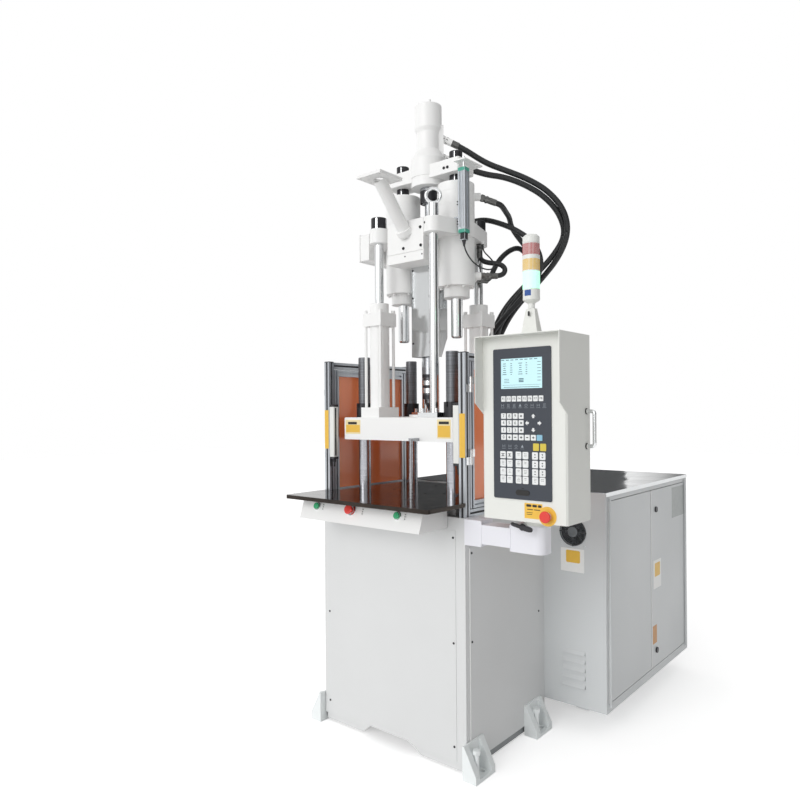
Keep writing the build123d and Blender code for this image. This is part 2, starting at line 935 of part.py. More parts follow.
# Platen position sensor: a body on the table and a rod from the platen's front
with BuildPart() as platen_sensor_body:
    round_bar([(sensor_x, sensor_y)], sensor_body_radius, (table_top, table_top + sensor_body_height))
    round_bar(
        [(sensor_x, sensor_y)],
        sensor_rod_radius + guide_gap,
        (table_top + 3, table_top + sensor_body_height),
        Mode.SUBTRACT,
    )

sensor_rod_end = table_top + 55
with BuildPart() as platen_sensor_rod:
    round_bar(
        [(sensor_x, sensor_y)],
        sensor_rod_radius,
        (sensor_rod_end, platen_bottom + sensor_bracket_height),
    )
    block(
        (sensor_x - sensor_body_radius, sensor_x + sensor_body_radius),
        (sensor_y - sensor_body_radius, -platen_half_y),
        (platen_bottom + 2, platen_bottom + sensor_bracket_height),
    )

# Carriage cylinders on the platen: foot, tube with four tie rods, square head and gland
foot_top = platen_top + carriage_foot_height
head_top = carriage_tube_top + carriage_head_height
gland_top = head_top + carriage_gland_height
carriage_tie_places = [
    (x + dx, y + dy)
    for x, y in carriage_places
    for dx, dy in four(carriage_tie_reach, carriage_tie_reach)
]
with BuildPart() as carriage_cylinders:
    square_bar(carriage_places, carriage_foot, (platen_top, foot_top))
    round_bar(carriage_places, carriage_tube_radius, (foot_top, carriage_tube_top))
    round_bar(carriage_tie_places, carriage_tie_radius, (foot_top, carriage_tube_top))
    square_bar(carriage_places, (carriage_head, carriage_head), (carriage_tube_top, head_top))
    round_bar(carriage_tie_places, carriage_nut_radius, (head_top, head_top + carriage_nut_height))
    round_bar(carriage_places, carriage_gland_radius, (head_top, gland_top))
    round_bar(
        carriage_places, carriage_rod_radius + guide_gap, (carriage_bore_bottom, gland_top), Mode.SUBTRACT
    )

# Carriage rods, shouldered under the seat's bosses and held by round nuts
with BuildPart() as carriage_rods:
    round_bar(carriage_places, carriage_rod_radius, (carriage_rod_bottom, boss_z[0]))
    round_bar(carriage_places, carriage_thread_radius, (boss_z[0], boss_z[1] + rod_nut_height))
    round_bar(carriage_places, rod_nut_radius, (boss_z[1], boss_z[1] + rod_nut_height))
    chamfer(carriage_rods.faces().group_by(Axis.Z)[-1].edges(), length=3)

# Guide rods bolted to the platen, with a lifting eye on each top end
eye_direction = Vector(-sin(radians(eye_turn)), cos(radians(eye_turn)), 0)
eye_centre_z = boss_z[1] + eye_collar_height + eye_ring_radius + eye_ring_section - 2
with BuildPart() as guide_rods:
    square_bar(guide_places, (guide_flange, guide_flange), (platen_top, platen_top + guide_flange_height))
    guide_bolts = [
        (x + dx, y + dy)
        for x, y in guide_places
        for dx, dy in four(guide_bolt_reach, guide_bolt_reach)
    ]
    round_bar(
        guide_bolts,
        guide_bolt_radius,
        (platen_top + guide_flange_height, platen_top + guide_flange_height + guide_bolt_height),
    )
    round_bar(guide_places, carriage_rod_radius, (platen_top + guide_flange_height, boss_z[1]))
    round_bar(guide_places, eye_collar_radius, (boss_z[1], boss_z[1] + eye_collar_height))
    for x, y in guide_places:
        ring_plane = Plane(origin=(x, y, eye_centre_z), x_dir=(0, 0, 1), z_dir=eye_direction)
        with BuildSketch(Plane(origin=ring_plane.origin, x_dir=ring_plane.y_dir, z_dir=(0, 0, 1))):
            with Locations((eye_ring_radius, 0)):
                Circle(eye_ring_section)
        revolve(axis=Axis(ring_plane.origin, eye_direction))

# Injection seat: a casting with a centre block, two wings round the cylinders and four bosses
with BuildPart() as injection_seat:
    block((-seat_half_x, seat_half_x), (seat_front, seat_back), seat_z)
    for side in (-1, 1):
        with BuildSketch(Plane.XY.offset(boss_z[0])):
            with Locations((side * boss_x, -boss_y), (side * boss_x, boss_y)):
                Circle(boss_radius)
            with Locations((side * cylinder_x, 0)):
                Circle(cylinder_radius + seat_ring)
            make_hull()
        extrude(amount=boss_z[1] - boss_z[0])
    with BuildSketch(Plane.XY.offset(boss_z[0])):
        Rectangle(2 * boss_x, 2 * (boss_y - boss_radius / 2))
    extrude(amount=boss_z[1] - boss_z[0])
    round_bar(cylinder_places, cylinder_radius + seat_gap, seat_z, Mode.SUBTRACT)
    round_bar([(0, 0)], barrel_radius + seat_gap, seat_z, Mode.SUBTRACT)
    round_bar(
        [(0, 0)],
        barrel_flange_radius + seat_gap,
        (seat_z[1] - barrel_flange_height, seat_z[1]),
        Mode.SUBTRACT,
    )
    round_bar(carriage_places, carriage_thread_radius + seat_gap, boss_z, Mode.SUBTRACT)
    round_bar(guide_places, carriage_rod_radius + guide_gap, boss_z, Mode.SUBTRACT)
    block(
        (-seat_half_x, seat_half_x),
        (seat_front, seat_front + seat_groove),
        (seat_groove_z, seat_groove_z + seat_groove),
        Mode.SUBTRACT,
    )
    round_bar([link_port], link_port_radius, (link_port_bottom, boss_z[0]))
    round_bar([sensor_gland], sensor_gland_radius, (boss_z[0] - sensor_gland_height, boss_z[0]))

# Feed pipe from the hopper plate down to the seat's front
pipe_start = Vector(*pipe_foot)
pipe_end = Vector(*hopper_centre) - Vector(0, 0, hopper_plate_thick / 2)
pipe_direction = (pipe_end - pipe_start).normalized()
pipe_length = (pipe_end - pipe_start).length
pipe_plane = Plane(origin=pipe_start, x_dir=(1, 0, 0), z_dir=pipe_direction)
with BuildPart() as feed_pipe:
    with BuildSketch(pipe_plane):
        Circle(pipe_radius)
    extrude(amount=pipe_length)
    with BuildSketch(pipe_plane.offset(pipe_clamp_height / 2)):
        Circle(pipe_clamp_radius)
    extrude(amount=pipe_clamp_height)
    block(
        (-hopper_plate[0] / 2, hopper_plate[0] / 2),
        (hopper_centre[1] - hopper_plate[1] / 2, hopper_centre[1] + hopper_plate[1] / 2),
        (hopper_centre[2] - hopper_plate_thick / 2, hopper_centre[2] + hopper_plate_thick / 2),
    )
    with BuildSketch(pipe_plane):
        Circle(pipe_bore)
    extrude(amount=pipe_length, mode=Mode.SUBTRACT)
    round_bar(
        [hopper_centre[:2]],
        pipe_bore,
        (hopper_centre[2] - hopper_plate_thick, hopper_centre[2] + hopper_plate_thick),
        Mode.SUBTRACT,
    )
    with BuildSketch(Plane.XY.offset(hopper_centre[2] - hopper_plate_thick)):
        with Locations((hopper_centre[0], hopper_centre[1])):
            with GridLocations(*hopper_bolts, 2, 2):
                Circle(hopper_bolt_radius)
    extrude(amount=2 * hopper_plate_thick, mode=Mode.SUBTRACT)
    hopper_top_z = hopper_centre[2] + hopper_plate_thick / 2
    block(
        (-pipe_radius, pipe_radius),
        (hopper_centre[1] - 2 * pipe_radius, hopper_centre[1] + 2 * pipe_radius),
        (hopper_top_z, hopper_top_z + pipe_radius),
        Mode.SUBTRACT,
    )
    block(
        (-pipe_clamp_radius, pipe_clamp_radius),
        (seat_front, seat_front + 2 * pipe_clamp_radius),
        (seat_z[0], seat_z[1] + 2 * pipe_clamp_radius),
        Mode.SUBTRACT,
    )

# Barrel with its top flange, feed port and stepped nose
with BuildPart() as barrel:
    with BuildSketch(Plane.XZ):
        with BuildLine():
            Polyline(
                (screw_radius + guide_gap, barrel_bottom),
                (barrel_nose_radius, barrel_bottom),
                (barrel_nose_radius, barrel_bottom + barrel_nose_height),
                (barrel_radius, barrel_bottom + barrel_nose_height + 12),
                (barrel_radius, seat_z[1] - barrel_flange_height),
                (barrel_flange_radius, seat_z[1] - barrel_flange_height),
                (barrel_flange_radius, seat_z[1]),
                (screw_radius + guide_gap, seat_z[1]),
                close=True,
            )
        make_face()
    revolve(axis=Axis.Z)
    with BuildSketch(Plane.XZ):
        with Locations((0, feed_port_z)):
            Circle(feed_port_radius)
    extrude(amount=barrel_radius + 5, mode=Mode.SUBTRACT)

# Screw with its root, shank and coupling
with BuildPart() as screw:
    with BuildSketch(Plane.XZ):
        with BuildLine():
            Polyline(
                (0, screw_tip),
                (screw_root_radius, screw_tip + 2 * screw_root_radius),
                (screw_root_radius, screw_flight_top),
                (screw_radius, screw_flight_top + 6),
                (screw_radius, coupling_z[0]),
                (coupling_radius, coupling_z[0]),
                (coupling_radius, coupling_z[1] - free_gap),
                (motor_shaft_radius, coupling_z[1] - free_gap),
                (motor_shaft_radius, crosshead_z[1] - free_gap),
                (0, crosshead_z[1] - free_gap),
                close=True,
            )
        make_face()
    revolve(axis=Axis.Z)

# Nozzle with its heater band
with BuildPart() as nozzle:
    with BuildSketch(Plane.XZ):
        with BuildLine():
            Polyline(
                (nozzle_bore, nozzle_tip),
                (nozzle_tip_radius, nozzle_tip),
                (nozzle_tip_radius + 4, nozzle_tip + 14),
                (nozzle_radius, nozzle_tip + 34),
                (nozzle_radius, nozzle_tip + 50),
                (band_radius, nozzle_tip + 50),
                (band_radius, nozzle_tip + 92),
                (nozzle_radius, nozzle_tip + 92),
                (nozzle_radius, nozzle_tip + 108),
                (nozzle_nut_radius, nozzle_tip + 108),
                (nozzle_nut_radius, barrel_bottom),
                (screw_radius, barrel_bottom),
                (nozzle_bore, barrel_bottom - 24),
                close=True,
            )
        make_face()
    revolve(axis=Axis.Z)

# Barrel guard, a sheet box with its lower rear corner cut off
with BuildPart() as barrel_guard:
    block((-guard_half_x, guard_half_x), (-guard_half_y, guard_half_y), (guard_bottom, seat_z[0]))
    block(
        (-guard_half_x + guard_sheet, guard_half_x - guard_sheet),
        (-guard_half_y + guard_sheet, guard_half_y - guard_sheet),
        (guard_bottom, seat_z[0]),
        Mode.SUBTRACT,
    )
    with BuildSketch(Plane.YZ.offset(-guard_half_x)):
        with BuildLine():
            Polyline(
                (guard_half_y, guard_bottom),
                (guard_half_y, guard_bottom + 2 * guard_chamfer),
                (guard_half_y - guard_chamfer, guard_bottom),
                close=True,
            )
        make_face()
    extrude(amount=2 * guard_half_x, mode=Mode.SUBTRACT)

# Injection cylinders with through bores, bolted bottom glands and hose ports
with BuildPart() as injection_cylinders:
    for x in (-cylinder_x, cylinder_x):
        with BuildSketch(Plane(origin=(x, 0, 0), x_dir=(1, 0, 0), z_dir=(0, -1, 0))):
            with BuildLine():
                Polyline(
                    (injection_rod_radius + guide_gap, cylinder_z[0] - gland_height),
                    (gland_radius, cylinder_z[0] - gland_height),
                    (gland_radius, cylinder_z[0]),
                    (cylinder_radius, cylinder_z[0]),
                    (cylinder_radius, cylinder_z[1]),
                    (injection_rod_radius + guide_gap, cylinder_z[1]),
                    close=True,
                )
            make_face()
            for z in cylinder_joints:
                with Locations((cylinder_radius, z)):
                    Rectangle(2 * joint_depth, joint_width, mode=Mode.SUBTRACT)
        revolve(axis=Axis((x, 0, 0), (0, 0, 1)))
    gland_bolts = [
        (x + gland_bolt_reach * cos(radians(30 + 60 * k)), gland_bolt_reach * sin(radians(30 + 60 * k)))
        for x in (-cylinder_x, cylinder_x)
        for k in range(6)
    ]
    round_bar(gland_bolts, gland_bolt_radius, (cylinder_z[0] - gland_bolt_height, cylinder_z[0]))
    cylinder_port(high_fitting, cylinder_x, port_turn, high_port_z)
    cylinder_port(low_fitting, cylinder_x, port_turn, low_port_z)
    cylinder_port(rear_fitting, cylinder_x, low_port_turn, low_port_z)
    cylinder_port(left_fitting, -cylinder_x, left_port_turn, left_port_z)

# Junction box on the seat's left, with its lid
with BuildPart() as junction_box:
    block((junction_x[0] + junction_lid, junction_x[1]), junction_y, junction_z)
    block(
        (junction_x[0], junction_x[0] + junction_lid),
        (junction_y[0] - 3, junction_y[1] + 3),
        (junction_z[0] - 3, junction_z[1] + 3),
    )
    fillet(junction_box.edges().filter_by(Axis.X), radius=4)

# Linear position sensor: a slotted extrusion with end caps, a bracket and its plug
with BuildPart() as transducer_body:
    with BuildSketch(Plane.XY.offset(transducer_z[0] + transducer_cap)):
        with Locations((transducer_x, transducer_y)):
            Rectangle(transducer_side, transducer_side)
            with PolarLocations(transducer_side / 2, 4):
                Rectangle(6, 8, mode=Mode.SUBTRACT)
    extrude(amount=transducer_z[1] - transducer_z[0] - 2 * transducer_cap)
    for z in (transducer_z[0], transducer_z[1] - transducer_cap):
        square_bar(
            [(transducer_x, transducer_y)], (transducer_side, transducer_side), (z, z + transducer_cap)
        )
    square_bar(
        [(transducer_x, transducer_y)], (transducer_plug_side, transducer_plug_side), transducer_plug_z
    )
    block(
        (transducer_bracket_x, transducer_x - transducer_side / 2),
        (transducer_y - transducer_side / 2, transducer_y + transducer_side / 2),
        (boss_z[1], boss_z[1] + 6),
    )
    round_bar(
        [(transducer_x, transducer_y)],
        transducer_rod_radius + guide_gap,
        (transducer_rod_bottom, transducer_z[1]),
        Mode.SUBTRACT,
    )

# Crosshead with its hub, the sensor's arm and rod
with BuildPart() as crosshead:
    block((-crosshead_half_x, crosshead_half_x), (-crosshead_half_y, crosshead_half_y), crosshead_z)
    chamfer(crosshead.edges().filter_by(Axis.Z), length=6)
    round_bar([(0, 0)], hub_ring_radius, (hub_bottom, hub_ring_top))
    round_bar([(0, 0)], hub_radius, (hub_ring_top, crosshead_z[1]))
    round_bar([(0, 0)], motor_shaft_radius + free_gap, (hub_bottom, crosshead_z[1]), Mode.SUBTRACT)
    round_bar(cylinder_places, injection_thread_radius + seat_gap, crosshead_z, Mode.SUBTRACT)
    block(
        (crosshead_half_x, transducer_x + transducer_side / 2),
        (transducer_y - transducer_side / 2, crosshead_half_y - 20),
        slider_arm_z,
    )
    round_bar(
        [(transducer_x, transducer_y)],
        transducer_rod_radius,
        (transducer_rod_bottom + 4, slider_arm_z[1]),
    )

# Injection rods with their thread ends and the nuts above and below the crosshead
with BuildPart() as injection_rods:
    round_bar(cylinder_places, injection_rod_radius, (injection_rod_bottom, rod_lower_nut_bottom))
    chamfer(injection_rods.faces().group_by(Axis.Z)[0].edges(), length=5)
    round_bar(cylinder_places, rod_end_radius, (rod_lower_nut_bottom, crosshead_z[0]))
    round_bar(cylinder_places, injection_thread_radius, crosshead_z)
    round_bar(cylinder_places, rod_end_radius, (crosshead_z[1], crosshead_z[1] + rod_end_height))
    chamfer(injection_rods.faces().group_by(Axis.Z)[-1].edges(), length=4)

# Hydraulic motor, a cast body with a cone, a neck, a head and its port block
with BuildPart() as hydraulic_motor:
    with BuildSketch(Plane.XZ):
        with BuildLine():
            Polyline(
                (0, crosshead_z[1]),
                (hub_radius, crosshead_z[1]),
                (hub_radius, motor_shoulder),
                (motor_neck_radius, motor_neck_bottom),
                (motor_neck_radius, motor_neck_top - 12),
                (motor_top_radius, motor_neck_top + 6),
                (motor_top_radius, motor_top),
                (0, motor_top),
                close=True,
            )
        make_face()
    revolve(axis=Axis.Z)
    fillet(hydraulic_motor.faces().sort_by(Axis.Z)[-1].edges(), radius=5)
    head_bolts = [
        (43 * cos(radians(45 + 90 * k)), 43 * sin(radians(45 + 90 * k)))
        for k in range(4)
    ]
    round_bar(head_bolts, motor_bolt_radius, (motor_top, motor_top + motor_bolt_height))
    with BuildSketch(side_plane(0, port_turn, 0, 0)):
        with Locations((0, (motor_port_z[0] + motor_port_z[1]) / 2)):
            RectangleRounded(motor_port_width, motor_port_z[1] - motor_port_z[0], 8)
    extrude(amount=motor_port_reach)
    for fitting in motor_fittings:
        disc(fitting, motor_hose_radius + 2, motor_fitting_length)

# Control box with a bevelled edge, a turning coupling, a visor, the lamp bracket and a pull handle
with BuildPart() as control_box:
    block(control_x, control_y, control_z)
    chamfer(control_box.edges().filter_by(Axis.Z), length=control_edge)
    block(
        (control_x[0] + control_wall, control_x[1] - control_wall),
        (control_y[0] + control_wall, control_y[1] - control_wall),
        (control_z[0] + control_wall, control_z[1] - control_wall),
        Mode.SUBTRACT,
    )
    round_bar([(swivel_x, swivel_y)], swivel_radius, (swivel_bottom, control_z[0]))
    with BuildSketch(Plane.YZ.offset(control_x[0])):
        with BuildLine():
            Polyline(
                (control_y[0] + control_edge + 2, control_z[1]),
                (visor_front, control_z[1]),
                (visor_front, visor_bottom),
                (control_y[0] + control_edge + 2, visor_root),
                close=True,
            )
        make_face()
    extrude(amount=control_x[1] - control_x[0])
    block(
        (control_x[0] + visor_sheet, control_x[1] - visor_sheet),
        (visor_front - 1, control_y[0]),
        (visor_root - 1, control_z[1] - visor_sheet),
        Mode.SUBTRACT,
    )
    with BuildSketch(Plane.XY.offset(control_z[1])) as bracket_foot:
        with Locations((lamp_x, lamp_y)):
            Rectangle(2 * lamp_bracket_half[0], 2 * lamp_bracket_half[1])
    with BuildSketch(Plane.XY.offset(lamp_bracket_top)) as bracket_head:
        with Locations((lamp_x, lamp_y)):
            Rectangle(lamp_bracket_half[0], lamp_bracket_half[1])
    loft([bracket_foot.sketch.face(), bracket_head.sketch.face()])
    disc(panel_stop_plane(-control_wall), stop_stem_radius + free_gap, control_wall, Mode.SUBTRACT)
    with BuildLine() as handle_path:
        FilletPolyline(
            (control_x[1] - 1, handle_y, handle_z[0]),
            (control_x[1] + handle_proud, handle_y, handle_z[0]),
            (control_x[1] + handle_proud, handle_y, handle_z[1]),
            (control_x[1] - 1, handle_y, handle_z[1]),
            radius=2 * handle_radius,
        )
    with BuildSketch(Plane.YZ.offset(control_x[1] - 1)) as handle_section:
        with Locations((handle_y, handle_z[0])):
            Circle(handle_radius)
    sweep(handle_section.sketch, path=handle_path.line)
    for z in handle_z:
        disc(
            Plane(origin=(control_x[1], handle_y, z), x_dir=(0, 1, 0), z_dir=(1, 0, 0)),
            handle_foot_radius,
            handle_radius,
        )

# Membrane panel with its screen recess, raised keys and the dark slot below them
with BuildPart() as control_panel:
    block(panel_x, (control_y[0] - panel_thick, control_y[0]), panel_z)
    chamfer(control_panel.edges().filter_by(Axis.Y), length=4)
    block(
        screen_x,
        (control_y[0] - panel_thick, control_y[0] - panel_thick + screen_depth),
        screen_z,
        Mode.SUBTRACT,
    )
    with BuildSketch(Plane.XZ.offset(panel_thick - control_y[0])):
        for column in range(8):
            with Locations((number_key_x + column * small_key_pitch, function_key_z)):
                RectangleRounded(key_side - 2, key_side, 2)
        for row, z in enumerate(number_key_z):
            for column in range(7 if row == 3 else 4):
                with Locations((number_key_x + column * number_key_pitch, z)):
                    RectangleRounded(key_side, key_side, 2)
        with Locations(arrow_centre):
            with PolarLocations(arrow_reach, 4):
                RegularPolygon(arrow_side / 2, 4)
        for x in yellow_key_x:
            with Locations((x, yellow_key_z)):
                RectangleRounded(machine_key[0], machine_key[1], 2)
        for x in machine_key_x:
            for z in machine_key_z:
                with Locations((x, z)):
                    RectangleRounded(machine_key[0], machine_key[1], 2)
    extrude(amount=key_height)
    with BuildSketch(Plane.XZ.offset(panel_thick - control_y[0])):
        with Locations(panel_slot):
            SlotOverall(*panel_slot_size)
    extrude(amount=-screen_depth, mode=Mode.SUBTRACT)

# Emergency stop below the panel
with BuildPart() as panel_estop:
    stop_button(panel_stop_plane, button_depth)
    fillet(panel_estop.faces().sort_by(Axis.Y)[0].edges(), radius=4)

# Signal lamp in stacked sections
with BuildPart() as stack_light:
    with BuildSketch(Plane(origin=(lamp_x, lamp_y, 0), x_dir=(1, 0, 0), z_dir=(0, -1, 0))):
        with BuildLine():
            Polyline(
                (0, lamp_bracket_top),
                (12, lamp_bracket_top),
                (12, lamp_bracket_top + 18),
                (lamp_radius, lamp_bracket_top + 30),
                (lamp_radius, lamp_top - 8),
                (lamp_radius - 8, lamp_top),
                (0, lamp_top),
                close=True,
            )
        make_face()
        for z in lamp_joints:
            with Locations((lamp_radius, z)):
                Rectangle(2, 1.5, mode=Mode.SUBTRACT)
    revolve(axis=Axis((lamp_x, lamp_y, 0), (0, 0, 1)))

# Control arm: wall flange, block, slotted profile and elbow block
with BuildPart() as control_arm:
    block((base_half, base_half + arm_flange_thick), arm_flange_y, arm_block_z)
    block((base_half + arm_flange_thick, arm_block_end), arm_y, arm_block_z)
    block((arm_block_end, arm_elbow_start), arm_y, arm_profile_z)
    block((arm_elbow_start, arm_elbow_end), arm_y, arm_block_z)
    fillet(
        control_arm.edges().filter_by(Axis.Z).filter_by(lambda e: e.center().X > arm_elbow_end - 1),
        radius=30,
    )
    round_bar([(swivel_x, swivel_y)], swivel_radius, (arm_block_z[1], swivel_bottom - free_gap))

# Rear cabinet: a sheet shell on two skids, with its door opening, hinge lugs, louvres and fan opening
cabinet_hinge_y = (cabinet_door_y[0] + cabinet_hinge_radius, cabinet_door_y[1] - cabinet_hinge_radius)
with BuildPart() as cabinet_shell:
    block(cabinet_x, cabinet_y, cabinet_z)
    block(
        (cabinet_x[0] + cabinet_wall, cabinet_x[1] - cabinet_wall),
        (cabinet_y[0] + cabinet_wall, cabinet_y[1] - cabinet_wall),
        (cabinet_z[0] + cabinet_wall, cabinet_z[1]),
        Mode.SUBTRACT,
    )
    block(
        (cabinet_x[1] - cabinet_wall, cabinet_x[1]),
        (cabinet_door_y[0] - door_gap, cabinet_door_y[1] + door_gap),
        (cabinet_door_z[0] - door_gap, cabinet_door_z[1] + door_gap),
        Mode.SUBTRACT,
    )
    with BuildSketch(Plane.XZ.offset(-cabinet_y[0])):
        with Locations((fan_x, fan_z)):
            Circle(fan_bore)
    extrude(amount=-cabinet_wall, mode=Mode.SUBTRACT)
    for k in range(louvre_count):
        z = louvre_z[0] + (k + 0.5) * (louvre_z[1] - louvre_z[0]) / louvre_count
        block(louvre_x, (cabinet_y[0], cabinet_y[0] + cabinet_wall), (z, z + louvre_height), Mode.SUBTRACT)
        with BuildSketch(Plane.YZ.offset(louvre_x[0])):
            with BuildLine():
                Polyline(
                    (cabinet_y[0], z + louvre_height),
                    (cabinet_y[0], z + louvre_height + 2),
                    (cabinet_y[0] - louvre_proud, z + 2),
                    (cabinet_y[0] - louvre_proud, z),
                    close=True,
                )
            make_face()
        extrude(amount=louvre_x[1] - louvre_x[0])
    for x in (skid_x[0], skid_x[1] - skid_width):
        block((x, x + skid_width), skid_y, (skid_bottom, cabinet_z[0]))
        for y in (skid_y[0] + 2 * skid_pad_radius, skid_y[1] - 2 * skid_pad_radius):
            round_bar([(x + skid_width / 2, y)], skid_pad_radius, (0, skid_bottom))
    for hinge_y in cabinet_hinge_y:
        for edge, away in zip(cabinet_door_z, (-1, 1)):
            near = edge + away * free_gap
            block(
                (cabinet_x[1], cabinet_x[1] + 2 * cabinet_hinge_radius),
                (hinge_y - cabinet_hinge_radius, hinge_y + cabinet_hinge_radius),
                sorted((near, near + away * hinge_lug_height)),
            )
            round_bar(
                [(cabinet_x[1] + cabinet_hinge_radius, hinge_y)],
                hinge_pin_radius,
                sorted((near, edge - away * hinge_lug_height)),
            )

# Polished top sheet of the cabinet with its turned-down edge and the glands of the hoses
with BuildPart() as cabinet_top:
    block(
        (cabinet_x[0], cabinet_x[1] + cabinet_top_lap),
        (cabinet_y[0], cabinet_y[1] + cabinet_top_lap),
        (cabinet_z[1], cabinet_z[1] + cabinet_top_thick),
    )
    block(
        (cabinet_x[1], cabinet_x[1] + cabinet_top_lap),
        (cabinet_y[0], cabinet_y[1] + cabinet_top_lap),
        (cabinet_z[1] - cabinet_top_drop, cabinet_z[1]),
    )
    gland_top_z = cabinet_z[1] + cabinet_top_thick + hose_gland_height
    round_bar(hose_gland_places, hose_gland_radius, (cabinet_z[1], gland_top_z))


def cabinet_door(y_start, y_end, hinge_y):
    """A folded door leaf with its upright hinge barrel."""
    x = cabinet_x[1]
    block((x - cabinet_door_thick, x), (y_start, y_end), cabinet_door_z)
    block(
        (x - cabinet_door_thick - 1, x - cabinet_door_sheet),
        (y_start + cabinet_door_sheet, y_end - cabinet_door_sheet),
        (cabinet_door_z[0] + cabinet_door_sheet, cabinet_door_z[1] - cabinet_door_sheet),
        Mode.SUBTRACT,
    )
    round_bar([(x + cabinet_hinge_radius, hinge_y)], cabinet_hinge_radius, cabinet_door_z)
    round_bar(
        [(x + cabinet_hinge_radius, hinge_y)],
        hinge_pin_radius + guide_gap,
        cabinet_door_z,
        Mode.SUBTRACT,
    )


door_y_mid = (cabinet_door_seam - door_gap / 2, cabinet_door_seam + door_gap / 2)
with BuildPart() as front_cabinet_door:
    cabinet_door(cabinet_door_y[0], door_y_mid[0], cabinet_hinge_y[0])

with BuildPart() as rear_cabinet_door:
    cabinet_door(door_y_mid[1], cabinet_door_y[1], cabinet_hinge_y[1])
    for z in lock_z:
        disc(
            Plane(origin=(cabinet_x[1] - cabinet_door_thick, lock_y, z), x_dir=(0, 1, 0), z_dir=(1, 0, 0)),
            lock_stem_radius + guide_gap,
            cabinet_door_thick,
            Mode.SUBTRACT,
        )


def door_lock(z):
    """A quarter-turn lock: a round head, a stem through the leaf and a cam behind it."""
    plane = Plane(origin=(cabinet_x[1], lock_y, z), x_dir=(0, 1, 0), z_dir=(1, 0, 0))
    disc(plane, lock_radius, lock_proud)
    stem = cabinet_door_thick + lock_cam_gap
    disc(plane.offset(-stem), lock_stem_radius, stem)
    block(
        (cabinet_x[1] - stem - lock_cam_thick, cabinet_x[1] - stem),
        (lock_y - lock_stem_radius, lock_y + lock_stem_radius),
        (z - lock_stem_radius, z + lock_cam),
    )


with BuildPart() as lower_door_lock:
    door_lock(lock_z[0])

with BuildPart() as upper_door_lock:
    door_lock(lock_z[1])

# Cooling fan: its frame with the ring guard, and the bladed rotor
fan_plane = Plane(origin=(fan_x, cabinet_y[0], fan_z), x_dir=(1, 0, 0), z_dir=(0, -1, 0))
with BuildPart() as fan_frame:
    with BuildSketch(fan_plane.offset(-cabinet_wall)):
        RectangleRounded(fan_side, fan_side, 8)
        Circle(fan_bore, mode=Mode.SUBTRACT)
    extrude(amount=-fan_depth)
    with BuildSketch(fan_plane):
        for radius in fan_rings:
            Circle(radius + fan_ring_width)
            Circle(radius, mode=Mode.SUBTRACT)
        with PolarLocations(fan_grille_radius / 2, 4):
            Rectangle(fan_grille_radius - 2, fan_ring_width)
        Circle(fan_rings[0])
    extrude(amount=fan_grille_thick / 2)
    with BuildSketch(fan_plane.offset(-cabinet_wall - fan_depth)):
        Circle(fan_hub)
        with PolarLocations(fan_bore / 2, 4):
            Rectangle(fan_bore, 5)
    extrude(amount=4)

with BuildPart() as fan_rotor:
    disc(fan_plane.offset(-cabinet_wall - fan_depth + 6), fan_hub, fan_depth - 10)
    for k in range(fan_blades):
        turn = radians(360 * k / fan_blades)
        spoke = Vector(cos(turn), 0, sin(turn))
        tangent = Vector(-sin(turn), 0, cos(turn))
        chord = tangent * cos(radians(fan_pitch)) + Vector(0, -1, 0) * sin(radians(fan_pitch))
        middle = fan_plane.origin + Vector(0, cabinet_wall + fan_depth / 2, 0)
        with BuildSketch(Plane(origin=middle, x_dir=spoke, z_dir=spoke.cross(chord))):
            with Locations(((fan_hub + fan_tip) / 2 - 2, 0)):
                Rectangle(fan_tip - fan_hub + 4, fan_chord)
        extrude(amount=fan_blade / 2, both=True)

# Power pack: oil tank, electric motor with its pump, and the valve manifold on the lid
tank_z = (cabinet_z[0] + cabinet_wall, cabinet_z[0] + cabinet_wall + tank_height)
pump_z = tank_z[1] + pump_motor_radius
with BuildPart() as power_pack:
    block(tank_x, tank_y, tank_z)
    pump_plane = Plane(origin=(pump_axis[0], pump_axis[1], pump_z), x_dir=(1, 0, 0), z_dir=(0, 1, 0))
    disc(pump_plane, pump_motor_radius, pump_motor_length)
    disc(pump_plane, pump_radius, -pump_length)
    block(
        (pump_axis[0] - pump_motor_radius, pump_axis[0] + pump_motor_radius),
        (pump_axis[1] + 40, pump_axis[1] + pump_motor_length - 40),
        (tank_z[1], tank_z[1] + pump_motor_radius / 2),
    )
    block(
        (manifold_place[0], manifold_place[0] + manifold[0]),
        (manifold_place[1], manifold_place[1] + manifold[1]),
        (tank_z[1], tank_z[1] + manifold[2]),
    )

# Electrics: the mounting plate behind the doors with its rows of devices
with BuildPart() as electrics_panel:
    block(electrics_x, electrics_y, electrics_z)
    for row in range(3):
        z = electrics_z[0] + 90 + 220 * row
        for column in range(6):
            y = electrics_y[0] + 60 + 130 * column
            block((electrics_x[1], electrics_x[1] + 55), (y, y + 90), (z, z + 120))
    block(
        (electrics_x[0], electrics_x[1]),
        (electrics_y[0] - 20, electrics_y[1] + 20),
        (cabinet_z[0] + cabinet_wall, electrics_z[0]),
    )

# Feed hose from the motor's upper port round the back down to the cabinet
with BuildPart() as motor_feed_hose:
    hose(
        "motor_feed_hose",
        motor_fittings[0].offset(motor_fitting_length),
        54,
        [
            (186, 180, 2520),
            (251, 245, 2489),
            (327, 310, 2451),
            (401, 370, 2394),
            (455, 420, 2308),
            (458, 455, 2210),
            (400, 470, 2107),
            (294, 474, 2008),
            (158, 466, 1887),
            (88, 460, 1775),
            (40, 462, 1670),
            (22, 458, 1550),
            (12, 464, 1430),
            (18, 472, 1310),
            (15, 470, 1190),
            (15, 470, 1075),
        ],
        motor_hose_radius,
    )

